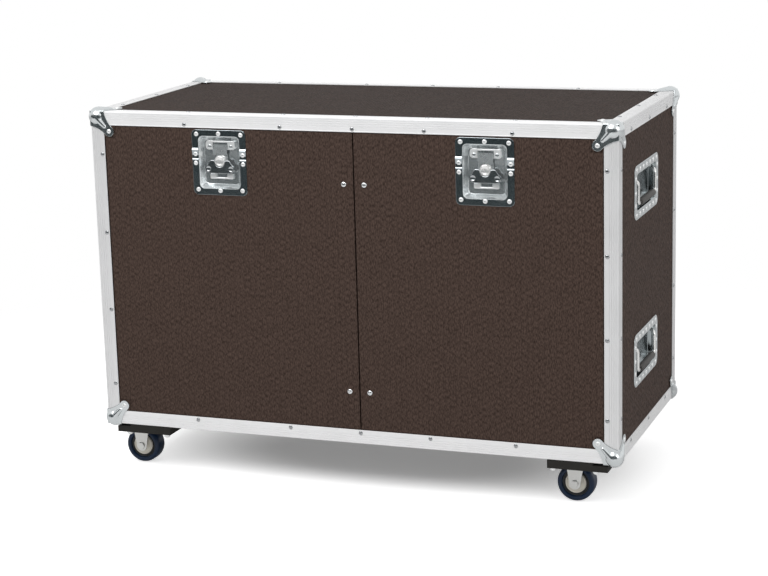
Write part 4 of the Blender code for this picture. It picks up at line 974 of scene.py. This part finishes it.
bail_axis = (0.024, pan_front - 0.008)
bail_rod_radius = 0.0040
bail_end = 0.0892
bail_shoulder = 0.0868
bail_half_width = 0.078
bail_drop = 0.048
bail_bend = 0.007
bail_crank = 0.0075
bail_crank_run = 0.010
bail_crank_steps = 8
grip_half = [(0, 0.0610), (0.0058, 0.0610), (0.0068, 0.0604), (0.0071, 0.0592), (0.0071, 0.0560)]
grip_half += [(0.0075, 0.0540)]
grip_middle = (0, bail_axis[0] - bail_drop, bail_axis[1] + bail_crank)
bail_steel = metal("plated_bails", (0.80, 0.80, 0.79), 0.22, 0.12, 50, 0.04)


def mottled(name, colour, roughness, grain_scale, shine=0.5):
    """Rubber, nylon or paint: mottled by handling, with a fine leathery grain."""
    made, tree, shader = new_material(name, {"Specular IOR Level": shine})
    place = object_place(tree)
    mottle = noise(tree, place, 45.0, 4.0)
    grain = new_node(tree, "ShaderNodeTexVoronoi", {"Vector": place, "Scale": grain_scale})
    tones = (mottle, shaded(colour, 0.75), shaded(colour, 1.25))
    uneven(tree, shader, tones, (mottle, 0.2, roughness - 0.1), (grain, 0.25, 0.0003))
    return made


def mirrored_profile(upper):
    """A turned piece's profile from its upper half."""
    return upper + [(radius, -height) for radius, height in reversed(upper)]


grip_rubber = mottled("grip_rubber", (0.062, 0.058, 0.054), 0.55, 900, 0.3)
bail_side = [(bail_end, 0.0, 0.0), (bail_shoulder, 0.0, 0.0)]
for step in range(1, bail_crank_steps + 1):
    turn = math.radians(90 * step / bail_crank_steps)
    across = bail_shoulder - (bail_shoulder - bail_half_width) * math.sin(turn)
    bail_side.append((across, -bail_crank_run * (1 - math.cos(turn)), bail_crank * math.sin(turn)))
lower_bend = arc((bail_half_width - bail_bend, -bail_drop + bail_bend), bail_bend, 0, -90, 8)
bail_side += [(across, up, bail_crank) for across, up in lower_bend]
bail_path = bail_side + [(-across, up, out) for across, up, out in reversed(bail_side)]
for name, matrix in handle_frames.items():
    rod = bpy.data.curves.new("bail_rod", "CURVE")
    rod.dimensions = "3D"
    rod.bevel_depth = bail_rod_radius
    rod.bevel_resolution = 4
    rod.use_fill_caps = True
    add_line(rod, [(across, bail_axis[0] + up, bail_axis[1] + out) for across, up, out in bail_path])
    rod_shape = shape_of(evaluated(in_scene("bail_rod", rod)), 1e-6)
    node = f"{name}_handle_bail"
    fit(f"{name}_bail_rod", [rod_shape], matrix, bail_steel, f"{name}_bail", [node], 40)
    grip_place = matrix @ Matrix.Translation(grip_middle) @ crosswise
    grip_shape = turned(mirrored_profile(grip_half), 32)
    fit(f"{name}_grip", [grip_shape], grip_place, grip_rubber, f"{name}_bail", (), 40)


# Runners: black painted boards under both ends that the casters hang through. Round-headed bolts hold
# each of them to the base near its ends and in its middle.

board_thickness = 0.018
board_low = underside - fit_gap - board_thickness
board_bolt_rows = (-0.2635, 0.0, 0.2635)
board_bolt_columns = (0.440, 0.531)
board_bolt_sizes = {
    "Head Radius": 0.0074,
    "Head Height": 0.0078,
    "Recess Radius": 0.0026,
    "Recess Depth": 0.0030,
    "Recess Sides": 6,
}
painted_wood = mottled("black_painted_wood", (0.020, 0.019, 0.017), 0.66, 260, 0.15)
finish_nodes(("left_caster_board", "right_caster_board"), painted_wood)
board_bolts = []
for sign, depth, across in product((-1, 1), board_bolt_rows, board_bolt_columns):
    board_bolts.append(((sign * across, depth, board_low), (0, 0, -1)))
heads_on("runner_bolts", board_bolts, board_bolt_sizes, rivet_finish, "case")


# Swivel plates: the casters' bolted top plates, each with its upper race and the kingpin whose head
# holds the fork up.

caster_across = 0.502
caster_depth = 0.189
caster_trail = 0.030
axle_drop = 0.068
upper_race = [(0, 0), (0.0275, 0), (0.0275, -0.0055), (0.0272, -0.0070), (0.0250, -0.0158)]
upper_race += [(0.0243, -0.0165), (0.0060, -0.0165)]
kingpin = [(0.0060, -0.0218), (0.0094, -0.0218), (0.0100, -0.0224), (0.0100, -0.0256)]
kingpin += [(0.0090, -0.0265), (0, -0.0265)]
plate_bolt_points = [*product((-0.034, 0.034), (-0.020, 0.020))]
plate_bolt_sizes = {**board_bolt_sizes, "Head Radius": 0.0056, "Head Height": 0.0030}
caster_zinc = metal("zinc_on_casters", (0.72, 0.72, 0.70), 0.34, 0.16, 30, 0.05, 0.80)
caster_places = {}
for (depth_name, depth_sign), (side, sign) in product((("front", -1), ("back", 1)), side_signs):
    place = Matrix.Translation((sign * caster_across, depth_sign * caster_depth, underside))
    caster_places[f"{depth_name}_{side}"] = place
swivel_shapes = []
plate_bolts = []
for place in caster_places.values():
    top_plate = plate([rounded_rectangle(0.084, 0.056, 0.008)], -0.0015, 0.0015, 0.0004)
    swivel_shapes += [placed(top_plate, place), placed(turned(upper_race + kingpin), place)]
    for across, along in plate_bolt_points:
        plate_bolts.append((place @ Vector((across, along, -0.0015)), (0, 0, -1)))
swivels = joined("swivel_plates_and_races", swivel_shapes)
dress(swivels, caster_zinc, "case", [f"{name}_swivel_plate" for name in caster_places])
heads_on("swivel_plate_bolts", plate_bolts, plate_bolt_sizes, rivet_finish, "case")


# Forks: pressed steel with a flat crown, the lower race and two cheeks that lean back to the axle. The
# axle is a bolt with a hexagon head and nut.

fork_inner = 0.0195
fork_outer = 0.0225
fork_sheet = 0.0030
fork_boss = arc((-caster_trail, -axle_drop), 0.0125, 10, -190, 20)
fork_cheek = [(-0.0495, -0.0193), (0.0180, -0.0193), (0.0180, -0.0225), (0.0000, -0.0245)]
fork_cheek += [(-0.0085, -0.0285), (-0.0120, -0.0340)] + fork_boss + [(-0.0480, -0.0300)]
lower_race = [(0.0063, -0.0168), (0.0232, -0.0168), (0.0240, -0.0176), (0.0240, -0.0195)]
lower_race += [(0.0063, -0.0195), (0.0063, -0.0168)]
axle_bolt = [(0, 0.0262), (0.0036, 0.0262), (0.0046, 0.0254), (0.0050, 0.0240)]
axle_bolt += [(0.0050, -0.0255), (0, -0.0255)]
axle_hexagon = arc((0, 0), 0.0080, 0, 300, 5)
axle_hexagon_height = 0.0038
axle = Matrix.Translation((-caster_trail, 0, -axle_drop)) @ Matrix.Rotation(math.pi / 2, 4, "X")
cheekwise = standing_on((1, 0, 0), (0, 0, 1))
for name, place in caster_places.items():
    crown_edge = rounded_rectangle(0.0765, 2 * fork_outer, 0.010, (-0.01125, 0))
    fork_shapes = [plate([crown_edge], -0.0215, -0.0190, 0.0006), turned(lower_race)]
    for low in (-fork_outer, fork_inner):
        fork_shapes.append(placed(plate([fork_cheek], low, low + fork_sheet, 0.0006), cheekwise))
    fork_shapes.append(placed(turned(axle_bolt, 24), axle))
    for low in (fork_outer - 0.0003, -fork_outer - 0.0035):
        fork_shapes.append(placed(plate([axle_hexagon], low, low + axle_hexagon_height, 0.0006), axle))
    node = f"{name}_fork"
    fit(f"{name}_fork_pressing", fork_shapes, place, caster_zinc, node, [node])


# Wheels: a dark blue elastic rubber tyre on a black core, with a cream nylon hub. Tyre, core and hub
# turn together on the axle.

# The tyre's blue is its own dark blue made darker still, as painted shade from the board above.
tyre_blue_painted_darker = mottled("blue_tyre_painted_darker", (0.003, 0.014, 0.040), 0.34, 700, 0.30)
core_black = mottled("black_wheel_core", (0.012, 0.012, 0.013), 0.50, 500)
hub_cream = mottled("cream_nylon_hub", (0.62, 0.59, 0.52), 0.45, 600)
tyre_half = [(0.0286, 0.0120), (0.0290, 0.0158), (0.0298, 0.0176), (0.0310, 0.0184), (0.0345, 0.0181)]
tyre_half += [(0.0368, 0.0171), (0.0386, 0.0151), (0.0396, 0.0120), (0.0399, 0.0080), (0.0400, 0.0030)]
core_half = [(0.0215, 0.0118), (0.0225, 0.0106), (0.0260, 0.0104), (0.0290, 0.0122)]
hub_half = [(0.0053, 0.0192), (0.0104, 0.0192), (0.0112, 0.0184), (0.0116, 0.0150), (0.0126, 0.0140)]
hub_half += [(0.0180, 0.0138), (0.0195, 0.0150), (0.0214, 0.0152), (0.0222, 0.0142), (0.0224, 0.0110)]
for name, place in caster_places.items():
    node = f"{name}_wheel"
    wheel_parts = (
        ("tyre", tyre_half, 72, tyre_blue_painted_darker, [node]),
        ("wheel_core", core_half, 64, core_black, ()),
        ("hub", hub_half, 64, hub_cream, ()),
    )
    for part, half, steps, finish, replaced in wheel_parts:
        ring = turned(mirrored_profile(half) + half[:1], steps)
        fit(f"{name}_{part}", [ring], place @ axle, finish, node, replaced, 40)


# Battens: planed softwood, left bare, screwed behind each door's meeting edge to keep it straight. Its
# long grain runs upright, with pores and a dull uneven sheen.

softwood_colour = (0.56, 0.42, 0.26)
softwood, wood_tree, wood_shader = new_material("softwood_battens", {})
long_grain = {"Vector": object_place(wood_tree), "Scale": (90.0, 90.0, 4.0)}
wood_grain = noise(wood_tree, new_node(wood_tree, "ShaderNodeMapping", long_grain), 1.0, 6.0)
wood_tones = (wood_grain, shaded(softwood_colour, 0.62), softwood_colour)
uneven(wood_tree, wood_shader, wood_tones, (wood_grain, 0.2, 0.6), (wood_grain, 0.3, 0.0004))
finish_nodes(("left_door_batten", "right_door_batten"), softwood)
